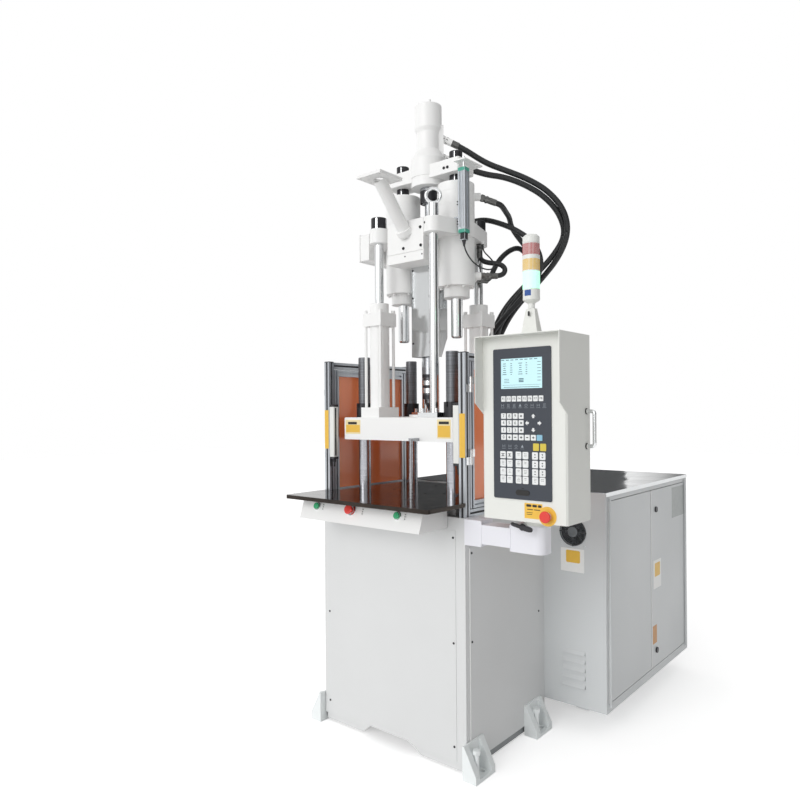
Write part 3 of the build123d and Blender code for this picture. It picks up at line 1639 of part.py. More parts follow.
# Return hose from the motor's lower port, beside the feed hose
with BuildPart() as motor_return_hose:
    hose(
        "motor_return_hose",
        motor_fittings[1].offset(motor_fitting_length),
        54,
        [
            (184, 175, 2467),
            (247, 242, 2459),
            (318, 302, 2424),
            (383, 363, 2373),
            (428, 424, 2299),
            (433, 476, 2210),
            (370, 474, 2120),
            (269, 445, 2020),
            (141, 428, 1908),
            (72, 424, 1795),
            (28, 420, 1690),
            (10, 414, 1570),
            (4, 418, 1440),
            (14, 428, 1310),
            (15, 425, 1195),
            (15, 425, 1075),
        ],
        motor_hose_radius,
    )

# Hose from the right cylinder's top port, over and behind the seat's hose
with BuildPart() as cylinder_top_hose:
    hose(
        "cylinder_top_hose",
        high_fitting.offset(fitting_length),
        28,
        [
            (292, 137, 2299),
            (287, 168, 2292),
            (275, 208, 2286),
            (262, 260, 2276),
            (244, 304, 2246),
            (259, 336, 2203),
            (298, 354, 2148),
            (328, 364, 2067),
            (312, 366, 1986),
            (223, 364, 1907),
            (124, 372, 1790),
            (92, 384, 1680),
            (82, 390, 1560),
            (70, 388, 1440),
            (76, 396, 1310),
            (75, 393, 1190),
            (75, 393, 1075),
        ],
        cylinder_hose_radius,
    )

# Hose from the left cylinder's rear port behind the seat's rear bosses
with BuildPart() as seat_hose:
    hose(
        "seat_hose",
        left_fitting.offset(fitting_length),
        50,
        [
            (-20, 212, 2270),
            (48, 228, 2278),
            (118, 226, 2284),
            (180, 232, 2272),
            (280, 266, 2225),
            (357, 302, 2161),
            (390, 324, 2083),
            (368, 337, 2002),
            (287, 335, 1920),
            (177, 333, 1828),
            (106, 340, 1760),
            (84, 348, 1650),
            (72, 352, 1530),
            (80, 346, 1410),
            (72, 350, 1290),
            (75, 352, 1180),
            (75, 352, 1075),
        ],
        cylinder_hose_radius,
    )

# Hose from the right cylinder's rear lower port, up into the bundle and down
with BuildPart() as cylinder_bottom_hose:
    hose(
        "cylinder_bottom_hose",
        rear_fitting.offset(fitting_length),
        32,
        [
            (200, 202, 2010),
            (202, 230, 2055),
            (214, 268, 2104),
            (232, 318, 2144),
            (250, 366, 2160),
            (276, 392, 2130),
            (300, 398, 2071),
            (280, 396, 1999),
            (223, 392, 1934),
            (162, 392, 1885),
            (112, 400, 1790),
            (86, 418, 1680),
            (66, 430, 1560),
            (72, 436, 1440),
            (80, 432, 1310),
            (75, 434, 1190),
            (75, 434, 1075),
        ],
        cylinder_hose_radius,
    )

# Short hose that curls from the right cylinder's lower port to the seat's underside
with BuildPart() as link_hose:
    hose(
        "link_hose",
        low_fitting.offset(fitting_length),
        32,
        [
            (304, 136, 1993),
            (306, 150, 2016),
            (288, 154, 2038),
            (257, 149, 2050),
            (222, 138, 2056),
            (196, 130, 2068),
            (186, 128, 2088),
            (186, 128, 2112),
        ],
        link_hose_radius,
    )

# Cable from the position sensor's plug, round the cylinder to the seat's underside
with BuildPart() as sensor_cable:
    hose(
        "sensor_cable",
        Plane(origin=(transducer_x, transducer_y, transducer_plug_z[0]), z_dir=(0, 0, -1)),
        27,
        [
            (254, -66, 2050),
            (271, -48, 2018),
            (292, -18, 1997),
            (306, 20, 1994),
            (306, 54, 2008),
            (292, 80, 2036),
            (262, 92, 2066),
            (234, 94, 2092),
            (226, 94, 2110),
            (226, 94, 2130),
        ],
        sensor_cable_radius,
    )

pieces = {
    "base_frame": base_frame,
    "base_covers": base_covers,
    "levelling_feet": levelling_feet,
    "fixed_platen": fixed_platen,
    "table": table,
    "ejector_rod": ejector_rod,
    "clamp_cylinder": clamp_cylinder,
    "lower_crosshead": lower_crosshead,
    "tie_bars": tie_bars,
    "tie_bar_nuts": tie_bar_nuts,
    "platen": platen,
    "button_box": button_box,
    "left_start_button": left_start_button,
    "right_start_button": right_start_button,
    "table_estop": table_estop,
    "guard_frames": guard_frames,
    "left_guard_door": left_guard_door,
    "right_guard_door": right_guard_door,
    "left_door_pane": left_door_pane,
    "right_door_pane": right_door_pane,
    "light_curtains": light_curtains,
    "platen_sensor_body": platen_sensor_body,
    "platen_sensor_rod": platen_sensor_rod,
    "carriage_cylinders": carriage_cylinders,
    "carriage_rods": carriage_rods,
    "guide_rods": guide_rods,
    "injection_seat": injection_seat,
    "feed_pipe": feed_pipe,
    "barrel": barrel,
    "screw": screw,
    "nozzle": nozzle,
    "barrel_guard": barrel_guard,
    "injection_cylinders": injection_cylinders,
    "junction_box": junction_box,
    "transducer_body": transducer_body,
    "crosshead": crosshead,
    "injection_rods": injection_rods,
    "hydraulic_motor": hydraulic_motor,
    "control_box": control_box,
    "control_panel": control_panel,
    "panel_estop": panel_estop,
    "stack_light": stack_light,
    "control_arm": control_arm,
    "cabinet_shell": cabinet_shell,
    "cabinet_top": cabinet_top,
    "front_cabinet_door": front_cabinet_door,
    "rear_cabinet_door": rear_cabinet_door,
    "lower_door_lock": lower_door_lock,
    "upper_door_lock": upper_door_lock,
    "fan_frame": fan_frame,
    "fan_rotor": fan_rotor,
    "power_pack": power_pack,
    "electrics_panel": electrics_panel,
    "motor_feed_hose": motor_feed_hose,
    "motor_return_hose": motor_return_hose,
    "cylinder_top_hose": cylinder_top_hose,
    "seat_hose": seat_hose,
    "cylinder_bottom_hose": cylinder_bottom_hose,
    "link_hose": link_hose,
    "sensor_cable": sensor_cable,
}
os.makedirs("parts", exist_ok=True)
for name, piece in pieces.items():
    piece.part.label = name
    export_step(piece.part, f"parts/{name}.step")
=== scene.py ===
"""Looks of the vertical injection moulding machine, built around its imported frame."""

import math
import random

import bmesh
import bpy
from bpy.props import FloatProperty, FloatVectorProperty, IntProperty, PointerProperty
from mathutils import Matrix, Vector


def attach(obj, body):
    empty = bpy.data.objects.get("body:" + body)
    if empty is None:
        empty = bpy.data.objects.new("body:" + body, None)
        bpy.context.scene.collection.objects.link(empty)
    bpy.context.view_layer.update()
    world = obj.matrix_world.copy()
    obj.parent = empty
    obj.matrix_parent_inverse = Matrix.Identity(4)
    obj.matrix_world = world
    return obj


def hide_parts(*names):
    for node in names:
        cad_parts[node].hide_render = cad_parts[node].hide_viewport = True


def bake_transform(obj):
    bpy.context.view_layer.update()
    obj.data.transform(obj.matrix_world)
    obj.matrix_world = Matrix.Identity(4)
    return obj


bl_info = {
    "name": "Vertical injection moulding machine",
    "version": (1, 0, 0),
    "blender": (4, 5, 0),
    "location": "View3D > Sidebar > Moulding machine",
    "description": "Finishes, hoses, operating panel, lamp and fittings of the machine",
    "category": "Object",
}

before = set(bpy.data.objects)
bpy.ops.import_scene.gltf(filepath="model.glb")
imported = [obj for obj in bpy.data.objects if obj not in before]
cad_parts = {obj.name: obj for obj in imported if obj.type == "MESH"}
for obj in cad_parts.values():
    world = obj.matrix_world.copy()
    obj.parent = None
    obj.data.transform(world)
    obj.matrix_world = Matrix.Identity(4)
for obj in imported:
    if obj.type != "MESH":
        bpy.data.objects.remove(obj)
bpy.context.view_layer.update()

LEFT, RIGHT = Vector((-1, 0, 0)), Vector((1, 0, 0))
FRONT, BACK = Vector((0, -1, 0)), Vector((0, 1, 0))
DOWN, UP = Vector((0, 0, -1)), Vector((0, 0, 1))
# edges sharper than this stay crisp in the shading
CREASE = math.radians(35)


def linear(code):
    """The linear colour of an sRGB hex value."""
    shares = [int(code[start : start + 2], 16) / 255 for start in (0, 2, 4)]
    return tuple(
        share / 12.92 if share <= 0.04045 else ((share + 0.055) / 1.055) ** 2.4
        for share in shares
    ) + (1.0,)


def colour_property(name, description, code):
    """A colour setting whose default is an sRGB hex value."""
    return FloatVectorProperty(
        name=name, description=description, subtype="COLOR", size=4, min=0, max=1, default=linear(code)
    )


def length_property(name, description, millimetres):
    """A length setting whose default is given in millimetres."""
    return FloatProperty(
        name=name, description=description, unit="LENGTH", default=millimetres / 1000, min=0
    )


class PaintSettings(bpy.types.PropertyGroup):
    """Colours of the painted steel."""

    machine: colour_property("Machine", "Powder coat of castings and cylinders", "F8F8F7")
    base: colour_property("Base", "Powder coat of the machine base", "DDDEDE")
    control: colour_property("Control box", "Powder coat of the control box", "E9EAE5")
    cabinet: colour_property("Cabinet", "Powder coat of the rear cabinet", "D3D6D7")
    tank: colour_property("Oil tank", "Paint of the parts inside the cabinet", "5F676B")
    peel: length_property("Orange peel", "Distance between the waves of the coat", 1.6)


class HoseSettings(bpy.types.PropertyGroup):
    """Sizes of the hoses and the sensor cable."""

    motor_radius: length_property("Motor hose radius", "Outer radius of the two motor hoses", 13)
    cylinder_radius: length_property("Cylinder hose radius", "Outer radius of cylinder hoses", 12)
    link_radius: length_property("Link hose radius", "Outer radius of the short link hose", 11)
    cable_radius: length_property("Cable radius", "Outer radius of the sensor cable", 3)
    sides: IntProperty(name="Sides", description="Faces round each hose", default=24, min=8)


class PanelSettings(bpy.types.PropertyGroup):
    """Sizes of the keys and marks on the operating panel."""

    key_rise: length_property("Key rise", "Height of a key cap above the foil", 1.7)
    mark: length_property("Mark", "Stroke width of the marks on the keys", 1.1)
    screen: colour_property("Screen", "Ground colour of the lit screen", "C4EAF0")
    ink: colour_property("Screen ink", "Bars and fields on the screen", "33606C")


class LampSettings(bpy.types.PropertyGroup):
    """Sizes of the signal lamp's lenses."""

    radius: length_property("Lens radius", "Outer radius of the lenses", 30.4)
    rib: length_property("Rib", "Height of the ribs round a lens", 0.5)
    ribs: IntProperty(name="Ribs", description="Ribs round each lens", default=40, min=6)


class ScrewSettings(bpy.types.PropertyGroup):
    """Sizes of the small screws."""

    cover: length_property("Cover screw", "Diameter of a cover screw's head", 9)
    socket: length_property("Socket screw", "Diameter of a socket screw's head", 13)
    thread_pitch: length_property("Thread pitch", "Distance between the tie bars' threads", 4)


class StageSettings(bpy.types.PropertyGroup):
    """Floor, light and camera round the machine."""

    floor: colour_property("Floor", "Colour of the floor", "EEEEEE")
    sun: FloatProperty(name="Sun", description="Strength of the key light", default=1.15, min=0)
    sky: FloatProperty(name="Sky", description="Strength of the light from all round", default=0.6, min=0)
    lens: FloatProperty(
        name="Lens", description="Focal length of the camera in millimetres", default=30.67
    )


# Materials


def add_node(tree, kind, settings=(), values=()):
    """Adds a node; settings are its own properties, values are its inputs' numbers or links."""
    added = tree.nodes.new(kind)
    for key, value in dict(settings).items():
        setattr(added, key, value)
    for key, value in dict(values).items():
        if isinstance(value, bpy.types.NodeSocket):
            tree.links.new(value, added.inputs[key])
        else:
            added.inputs[key].default_value = value
    return added


def empty_material(name):
    """A material whose tree has no nodes yet."""
    material = bpy.data.materials.new(name)
    material.use_nodes = True
    material.node_tree.nodes.clear()
    return material, material.node_tree


def new_finish(name, colour, roughness, **values):
    """A material with its shader, and the place of each point in the machine's frame."""
    material, tree = empty_material(name)
    place = add_node(tree, "ShaderNodeTexCoord").outputs["Object"]
    named = {key.replace("_", " "): value for key, value in values.items()}
    shader = add_node(
        tree, "ShaderNodeBsdfPrincipled", (), {"Base Color": colour, "Roughness": roughness, **named}
    )
    add_node(tree, "ShaderNodeOutputMaterial", (), {"Surface": shader.outputs[0]})
    return material, tree, shader, place


def spread(tree, pattern, low, high, socket):
    """Lets a pattern move a number on the shader between low and high."""
    ranged = add_node(
        tree, "ShaderNodeMapRange", (), {"Value": pattern, "From Min": 0.3, "From Max": 0.7,
                                         "To Min": low, "To Max": high}
    )
    tree.links.new(ranged.outputs["Result"], socket)


def blend_colours(tree, pattern, first, second, socket):
    """Lets a pattern move a colour on the shader from the first to the second."""
    mixed = add_node(
        tree, "ShaderNodeMix", {"data_type": "RGBA"}, {0: pattern, 6: first, 7: second}
    )
    tree.links.new(mixed.outputs[2], socket)


def raise_surface(tree, pattern, strength, distance, shader):
    """Lets a pattern raise the surface by a real distance in metres."""
    raised = add_node(
        tree, "ShaderNodeBump", (), {"Height": pattern, "Strength": strength, "Distance": distance}
    )
    tree.links.new(raised.outputs["Normal"], shader.inputs["Normal"])


def darker(colour, share):
    """A colour with a share of its light taken away."""
    return tuple(value * (1 - share) for value in colour[:3]) + (1.0,)


def powder_coat(name, colour, roughness, peel):
    """Powder coat on steel, sprayed and baked: an even satin with a fine orange peel."""
    material, tree, shader, place = new_finish(name, colour, roughness)
    cloud = add_node(tree, "ShaderNodeTexNoise", (), {"Vector": place, "Scale": 2.4, "Detail": 4.0})
    blend_colours(tree, cloud.outputs["Fac"], colour, darker(colour, 0.08), shader.inputs["Base Color"])
    spread(tree, cloud.outputs["Fac"], roughness - 0.05, roughness + 0.07, shader.inputs["Roughness"])
    waves = add_node(
        tree, "ShaderNodeTexNoise", (), {"Vector": place, "Scale": 1 / peel, "Detail": 1.5}
    )
    raise_surface(tree, waves.outputs["Fac"], 0.25, 0.00012, shader)
    return material


def hard_chrome():
    """Hard chrome on ground rods, polished round the axis: sharp bands with faint grinding marks."""
    material, tree, shader, place = new_finish("hard_chrome", linear("D9DBDE"), 0.08, Metallic=1.0)
    rings = add_node(tree, "ShaderNodeMapping", (), {"Vector": place, "Scale": (4.0, 4.0, 900.0)})
    marks = add_node(
        tree, "ShaderNodeTexNoise", (), {"Vector": rings.outputs[0], "Scale": 1.0, "Detail": 2.0}
    )
    spread(tree, marks.outputs["Fac"], 0.05, 0.14, shader.inputs["Roughness"])
    film = add_node(tree, "ShaderNodeTexNoise", (), {"Vector": place, "Scale": 9.0, "Detail": 3.0})
    blend_colours(
        tree, film.outputs["Fac"], linear("DDDFE2"), linear("B9BCC1"), shader.inputs["Base Color"]
    )
    return material


def turned_steel(name, light, dark, roughness):
    """Bright machine steel turned on a lathe: fine rings and a soft broad gloss."""
    material, tree, shader, place = new_finish(name, light, roughness, Metallic=1.0)
    rings = add_node(tree, "ShaderNodeMapping", (), {"Vector": place, "Scale": (6.0, 6.0, 700.0)})
    marks = add_node(
        tree, "ShaderNodeTexNoise", (), {"Vector": rings.outputs[0], "Scale": 1.0, "Detail": 3.0}
    )
    blend_colours(tree, marks.outputs["Fac"], light, dark, shader.inputs["Base Color"])
    spread(tree, marks.outputs["Fac"], roughness - 0.07, roughness + 0.1, shader.inputs["Roughness"])
    raise_surface(tree, marks.outputs["Fac"], 0.2, 0.00004, shader)
    return material


def black_oxide():
    """Blackened steel, dipped and oiled: near black with a dull oily gloss that wanders."""
    material, tree, shader, place = new_finish("black_oxide_steel", linear("2A2A2C"), 0.38, Metallic=0.7)
    oil = add_node(tree, "ShaderNodeTexNoise", (), {"Vector": place, "Scale": 45.0, "Detail": 4.0})
    blend_colours(
        tree, oil.outputs["Fac"], linear("202022"), linear("46464A"), shader.inputs["Base Color"]
    )
    spread(tree, oil.outputs["Fac"], 0.28, 0.5, shader.inputs["Roughness"])
    return material


def oiled_table():
    """Ground tool steel, blued and oiled: a dark mirror with ground lines and fine specks."""
    material, tree, shader, place = new_finish("oiled_tool_steel", linear("2B2725"), 0.1, Metallic=0.85)
    lines = add_node(tree, "ShaderNodeMapping", (), {"Vector": place, "Scale": (3.0, 600.0, 3.0)})
    ground = add_node(
        tree, "ShaderNodeTexNoise", (), {"Vector": lines.outputs[0], "Scale": 1.0, "Detail": 2.0}
    )
    stains = add_node(tree, "ShaderNodeTexNoise", (), {"Vector": place, "Scale": 14.0, "Detail": 5.0})
    blend_colours(
        tree, stains.outputs["Fac"], linear("1F1C1B"), linear("4A423C"), shader.inputs["Base Color"]
    )
    spread(tree, stains.outputs["Fac"], 0.06, 0.2, shader.inputs["Roughness"])
    raise_surface(tree, ground.outputs["Fac"], 0.12, 0.00003, shader)
    return material


def polished_sheet():
    """Cold-rolled stainless sheet, mirror bright: slow buckles bend what it reflects."""
    material, tree, shader, place = new_finish(
        "bright_stainless_sheet", linear("CFD1D2"), 0.1, Metallic=1.0
    )
    buckles = add_node(tree, "ShaderNodeTexNoise", (), {"Vector": place, "Scale": 5.0, "Detail": 1.0})
    raise_surface(tree, buckles.outputs["Fac"], 0.6, 0.01, shader)
    rolling = add_node(tree, "ShaderNodeMapping", (), {"Vector": place, "Scale": (500.0, 5.0, 5.0)})
    lines = add_node(
        tree, "ShaderNodeTexNoise", (), {"Vector": rolling.outputs[0], "Scale": 1.0, "Detail": 2.0}
    )
    spread(tree, lines.outputs["Fac"], 0.07, 0.17, shader.inputs["Roughness"])
    return material


def anodised_aluminium():
    """Extruded aluminium, anodised natural: pale, silky, drawn lines along the bar."""
    material, tree, shader, place = new_finish(
        "anodised_aluminium", linear("C9CDD2"), 0.34, Metallic=1.0
    )
    drawn = add_node(tree, "ShaderNodeMapping", (), {"Vector": place, "Scale": (900.0, 900.0, 4.0)})
    lines = add_node(
        tree, "ShaderNodeTexNoise", (), {"Vector": drawn.outputs[0], "Scale": 1.0, "Detail": 2.0}
    )
    blend_colours(
        tree, lines.outputs["Fac"], linear("D2D6DA"), linear("AEB3B9"), shader.inputs["Base Color"]
    )
    spread(tree, lines.outputs["Fac"], 0.28, 0.42, shader.inputs["Roughness"])
    return material


def zinc_plate():
    """Galvanised steel sheet: grey with large soft flakes of zinc."""
    material, tree, shader, place = new_finish("galvanised_steel", linear("A4A8AA"), 0.4, Metallic=0.9)
    flakes = add_node(tree, "ShaderNodeTexVoronoi", (), {"Vector": place, "Scale": 60.0})
    blend_colours(
        tree, flakes.outputs["Color"], linear("B3B7B9"), linear("8D9193"), shader.inputs["Base Color"]
    )
    spread(tree, flakes.outputs["Distance"], 0.34, 0.5, shader.inputs["Roughness"])
    return material


def amber_acrylic():
    """Cast acrylic sheet, tinted amber: glossy and deep orange. The real sheet is a little see-through;
    here it is opaque, and a faint painted glow stands in for the light that comes through it.
    """
    material, tree, shader, place = new_finish(
        "amber_acrylic", linear("F08A58"), 0.08, IOR=1.49, Coat_Weight=0.2,
        Emission_Color=linear("E8703C"), Emission_Strength=0.07,
    )
    haze = add_node(tree, "ShaderNodeTexNoise", (), {"Vector": place, "Scale": 3.0, "Detail": 2.0})
    blend_colours(
        tree, haze.outputs["Fac"], linear("FA9462"), linear("E8804E"), shader.inputs["Base Color"]
    )
    spread(tree, haze.outputs["Fac"], 0.06, 0.14, shader.inputs["Roughness"])
    return material


def moulded_plastic(name, colour, roughness, **values):
    """Injection-moulded ABS: even colour with a fine spark-eroded grain, 0.8 mm apart."""
    material, tree, shader, place = new_finish(name, colour, roughness, IOR=1.52, **values)
    grain = add_node(tree, "ShaderNodeTexNoise", (), {"Vector": place, "Scale": 1250.0, "Detail": 1.0})
    raise_surface(tree, grain.outputs["Fac"], 0.2, 0.00005, shader)
    cloud = add_node(tree, "ShaderNodeTexNoise", (), {"Vector": place, "Scale": 20.0, "Detail": 2.0})
    blend_colours(tree, cloud.outputs["Fac"], colour, darker(colour, 0.1), shader.inputs["Base Color"])
    return material


def lamp_lens(name, colour, glow):
    """Clear coloured polycarbonate with inner ribs: saturated, glossy, lit a little from inside."""
    material, tree, shader, place = new_finish(
        name, colour, 0.34, IOR=1.45, Coat_Weight=0.12, Emission_Color=colour, Emission_Strength=glow
    )
    cloud = add_node(tree, "ShaderNodeTexNoise", (), {"Vector": place, "Scale": 30.0, "Detail": 1.0})
    blend_colours(tree, cloud.outputs["Fac"], colour, darker(colour, 0.12), shader.inputs["Base Color"])
    return material


def membrane_foil():
    """Printed polyester foil over the keys: blue-grey, satin, pebbled at 0.9 mm."""
    material, tree, shader, place = new_finish("membrane_foil", linear("2A313C"), 0.42, IOR=1.6)
    pebbles = add_node(tree, "ShaderNodeTexNoise", (), {"Vector": place, "Scale": 1100.0, "Detail": 1.0})
    raise_surface(tree, pebbles.outputs["Fac"], 0.3, 0.00008, shader)
    blend_colours(
        tree, pebbles.outputs["Fac"], linear("2D3542"), linear("252B35"), shader.inputs["Base Color"]
    )
    return material


def hose_rubber():
    """Wrapped hydraulic hose: matt black rubber with the wide cloth wrap's slanting print."""
    material, tree, shader, _ = new_finish("hydraulic_hose_rubber", linear("121314"), 0.5)
    along = add_node(tree, "ShaderNodeUVMap", {"uv_map": "wrap"}).outputs["UV"]
    # the cloth print is 2 mm apart on the real hose and drawn about 16 mm apart so that it shows
    wrap = add_node(
        tree, "ShaderNodeTexWave", {"bands_direction": "DIAGONAL"},
        {"Vector": along, "Scale": 40.0, "Distortion": 0.6, "Detail": 1.0},
    )
    raise_surface(tree, wrap.outputs["Fac"], 0.35, 0.0004, shader)
    dust = add_node(tree, "ShaderNodeTexNoise", (), {"Vector": along, "Scale": 18.0, "Detail": 4.0})
    blend_colours(
        tree, dust.outputs["Fac"], linear("0D0E0F"), linear("26282A"), shader.inputs["Base Color"]
    )
    spread(tree, dust.outputs["Fac"], 0.38, 0.6, shader.inputs["Roughness"])
    return material


def printed_label(name, colour):
    """Printed vinyl sticker: flat even colour, a soft gloss and faintly cloudy ink."""
    material, tree, shader, place = new_finish(name, colour, 0.35)
    ink = add_node(tree, "ShaderNodeTexNoise", (), {"Vector": place, "Scale": 60.0, "Detail": 2.0})
    blend_colours(tree, ink.outputs["Fac"], colour, darker(colour, 0.08), shader.inputs["Base Color"])
    spread(tree, ink.outputs["Fac"], 0.3, 0.42, shader.inputs["Roughness"])
    return material


def lit_screen(colour, name, strength):
    """Backlit display behind a glossy window: glows evenly, with faint random patches a touch darker."""
    material, tree, shader, place = new_finish(
        name, colour, 0.12, Coat_Weight=0.5, Emission_Strength=strength
    )
    glow = add_node(tree, "ShaderNodeTexNoise", (), {"Vector": place, "Scale": 12.0, "Detail": 1.0})
    blend_colours(tree, glow.outputs["Fac"], colour, darker(colour, 0.1), shader.inputs["Emission Color"])
    return material


# Geometry


def directions(facing, upright=UP):
    """Across and up on a face that looks along facing."""
    across = upright.cross(facing)
    if across.length < 1e-6:
        across = RIGHT.copy()
    across.normalize()
    return across, facing.cross(across).normalized()


def circle(centre, across, up, radius, sides):
    """Points round a circle."""
    return [
        centre
        + across * (radius * math.cos(math.tau * side / sides))
        + up * (radius * math.sin(math.tau * side / sides))
        for side in range(sides)
    ]


def points_of(shape, rings):
    """Adds rings of places to a shape as its points."""
    return [[shape.verts.new(place) for place in ring] for ring in rings]


def skin(shape, rings):
    """Faces between neighbouring rings of points, and a face over both ends."""
    for near, far in zip(rings, rings[1:]):
        for index in range(len(near)):
            following = (index + 1) % len(near)
            shape.faces.new((near[index], near[following], far[following], far[index]))
    shape.faces.new(list(reversed(rings[0])))
    shape.faces.new(rings[-1])


def add_turned(shape, base, axis, profile, sides=32):
    """A turned solid: profile lists radius and height along the axis, in metres."""
    across, up = directions(axis, BACK if abs(axis.z) > 0.9 else UP)
    rings = [circle(base + axis * height, across, up, radius, sides) for radius, height in profile]
    skin(shape, points_of(shape, rings))


def rounded_outline(width, height, corner, steps=5):
    """Points round a rectangle with rounded corners, counter-clockwise from the lower right."""
    outline = []
    for turn, (x, y) in enumerate(((1, -1), (1, 1), (-1, 1), (-1, -1))):
        for step in range(steps + 1):
            angle = math.pi / 2 * (turn - 1 + step / steps)
            outline.append(
                (
                    x * (width / 2 - corner) + corner * math.cos(angle),
                    y * (height / 2 - corner) + corner * math.sin(angle),
                )
            )
    return outline


def add_plate(shape, centre, facing, width, height, thickness, corner=0.001, edge=0.0002, upright=UP):
    """A rounded plate whose front looks along facing; its front edge is eased."""
    across, up = directions(facing, upright)
    rings = []
    for depth, shrink in ((-thickness, 0), (-edge, 0), (0, edge)):
        outline = rounded_outline(width - 2 * shrink, height - 2 * shrink, max(corner - shrink, edge))
        rings.append([centre + facing * depth + across * x + up * y for x, y in outline])
    skin(shape, points_of(shape, rings))


def add_ring(shape, base, axis, section, sides=48):
    """A turned ring: section lists radius and height round its closed cut, in metres."""
    across, up = directions(axis, BACK if abs(axis.z) > 0.9 else UP)
    rows = []
    for side in range(sides):
        turn = math.tau * side / sides
        spoke = across * math.cos(turn) + up * math.sin(turn)
        rows.append([base + spoke * radius + axis * height for radius, height in section])
    join_rows(shape, points_of(shape, rows))


def join_rows(shape, rows):
    """Faces between closed sections that stand round an axis."""
    for number, near in enumerate(rows):
        far = rows[(number + 1) % len(rows)]
        for corner in range(len(near)):
            following = (corner + 1) % len(near)
            shape.faces.new((near[corner], far[corner], far[following], near[following]))


def ring_section(inner, outer, low, high, edge=0.0005):
    """The cut of a plain ring with eased outer edges."""
    return (
        (inner, low), (outer - edge, low), (outer, low + edge),
        (outer, high - edge), (outer - edge, high), (inner, high),
    )


def add_slotted_nut(shape, base, inner, outer, height, width=0.008, depth=0.0005):
    """A round nut with four shallow upright slots for a hook spanner, its hole open."""
    half = width / 2 / outer
    gap = math.tau / 4 - 2 * half
    outline = []
    for slot in range(4):
        middle = math.tau * slot / 4 + 0.4
        outline += [(middle - half, outer), (middle - half, outer - depth)]
        outline += [(middle + half, outer - depth), (middle + half, outer)]
        outline += [(middle + half + gap * step / 9, outer) for step in range(1, 9)]
    rows = []
    for turn, radius in outline:
        spoke = Vector((math.cos(turn), math.sin(turn), 0))
        section = ring_section(inner, radius, 0, height, 0.001)
        rows.append([base + spoke * reach + UP * lift for reach, lift in section])
    join_rows(shape, points_of(shape, rows))


def add_prism(shape, outline, centre, facing, thickness, upright=UP):
    """A flat form with straight sides: outline lists its corners in metres round its front."""
    across, up = directions(facing, upright)
    rings = [
        [centre + facing * depth + across * x + up * y for x, y in outline] for depth in (-thickness, 0)
    ]
    skin(shape, points_of(shape, rings))


def add_tube(shape, points, radius, sides=20):
    """A closed round bar along points."""
    skin(shape, points_of(shape, hose_rings(points, radius, sides)))


def mesh_from(shape, name):
    """Turns a shape into a mesh and lets the shape go."""
    mesh = bpy.data.meshes.new(name)
    shape.to_mesh(mesh)
    shape.free()
    return mesh


def sticker(name, finish, body, fields, rise=0.0003):
    """Flat fields on a surface; each has its centre, facing, width, height and corner."""
    shape = bmesh.new()
    for centre, facing, width, height, corner in fields:
        add_plate(shape, Vector(centre) + facing * rise, facing, width, height, 2 * rise, corner, 0.0001)
    return as_piece(name, shape, finish, body)


def as_piece(name, shape, finish, body, smooth=True):
    """Turns a finished shape into a piece with its material, slot and body."""
    bmesh.ops.recalc_face_normals(shape, faces=shape.faces)
    return place_mesh(name, mesh_from(shape, name), finish, body, smooth)


def place_mesh(name, mesh, finish, body, smooth=True, ride=True):
    """Puts a mesh in the scene as a piece of the machine."""
    mesh.materials.clear()
    mesh.materials.append(bpy.data.materials[finish])
    piece = bpy.data.objects.new(name, mesh)
    bpy.context.scene.collection.objects.link(piece)
    if smooth:
        mesh.set_sharp_from_angle(angle=CREASE)
    if ride:
        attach(piece, body)
    return piece


# Repeats by Geometry Nodes


def repeat_tree(name):
    """A tree that sets a small part on every point, turned to face the way the point says."""
    tree = bpy.data.node_groups.new(name, "GeometryNodeTree")
    face = tree.interface
    face.new_socket("Points", in_out="INPUT", socket_type="NodeSocketGeometry")
    face.new_socket("Part", in_out="INPUT", socket_type="NodeSocketObject")
    face.new_socket("Width", in_out="INPUT", socket_type="NodeSocketFloat")
    face.new_socket("Height", in_out="INPUT", socket_type="NodeSocketFloat")
    face.new_socket("Depth", in_out="INPUT", socket_type="NodeSocketFloat")
    face.new_socket("Finish", in_out="INPUT", socket_type="NodeSocketMaterial")
    face.new_socket("Parts", in_out="OUTPUT", socket_type="NodeSocketGeometry")
    given = add_node(tree, "NodeGroupInput").outputs
    part = add_node(tree, "GeometryNodeObjectInfo", (), {"Object": given["Part"]})
    facing = add_node(
        tree, "GeometryNodeInputNamedAttribute", {"data_type": "FLOAT_VECTOR"}, {"Name": "facing"}
    )
    upright = add_node(
        tree, "GeometryNodeInputNamedAttribute", {"data_type": "FLOAT_VECTOR"}, {"Name": "upright"}
    )
    looking = add_node(
        tree, "FunctionNodeAxesToRotation", {"primary_axis": "Z", "secondary_axis": "Y"},
        {"Primary Axis": facing.outputs["Attribute"], "Secondary Axis": upright.outputs["Attribute"]},
    )
    size = add_node(
        tree, "ShaderNodeCombineXYZ", (), {"X": given["Width"], "Y": given["Height"], "Z": given["Depth"]}
    )
    placed = add_node(
        tree, "GeometryNodeInstanceOnPoints", (),
        {"Points": given["Points"], "Instance": part.outputs["Geometry"],
         "Rotation": looking.outputs["Rotation"], "Scale": size.outputs["Vector"]},
    )
    real = add_node(tree, "GeometryNodeRealizeInstances", (), {"Geometry": placed.outputs["Instances"]})
    coated = add_node(
        tree, "GeometryNodeSetMaterial", (),
        {"Geometry": real.outputs["Geometry"], "Material": given["Finish"]},
    )
    add_node(tree, "NodeGroupOutput", (), {"Parts": coated.outputs["Geometry"]})
    return tree


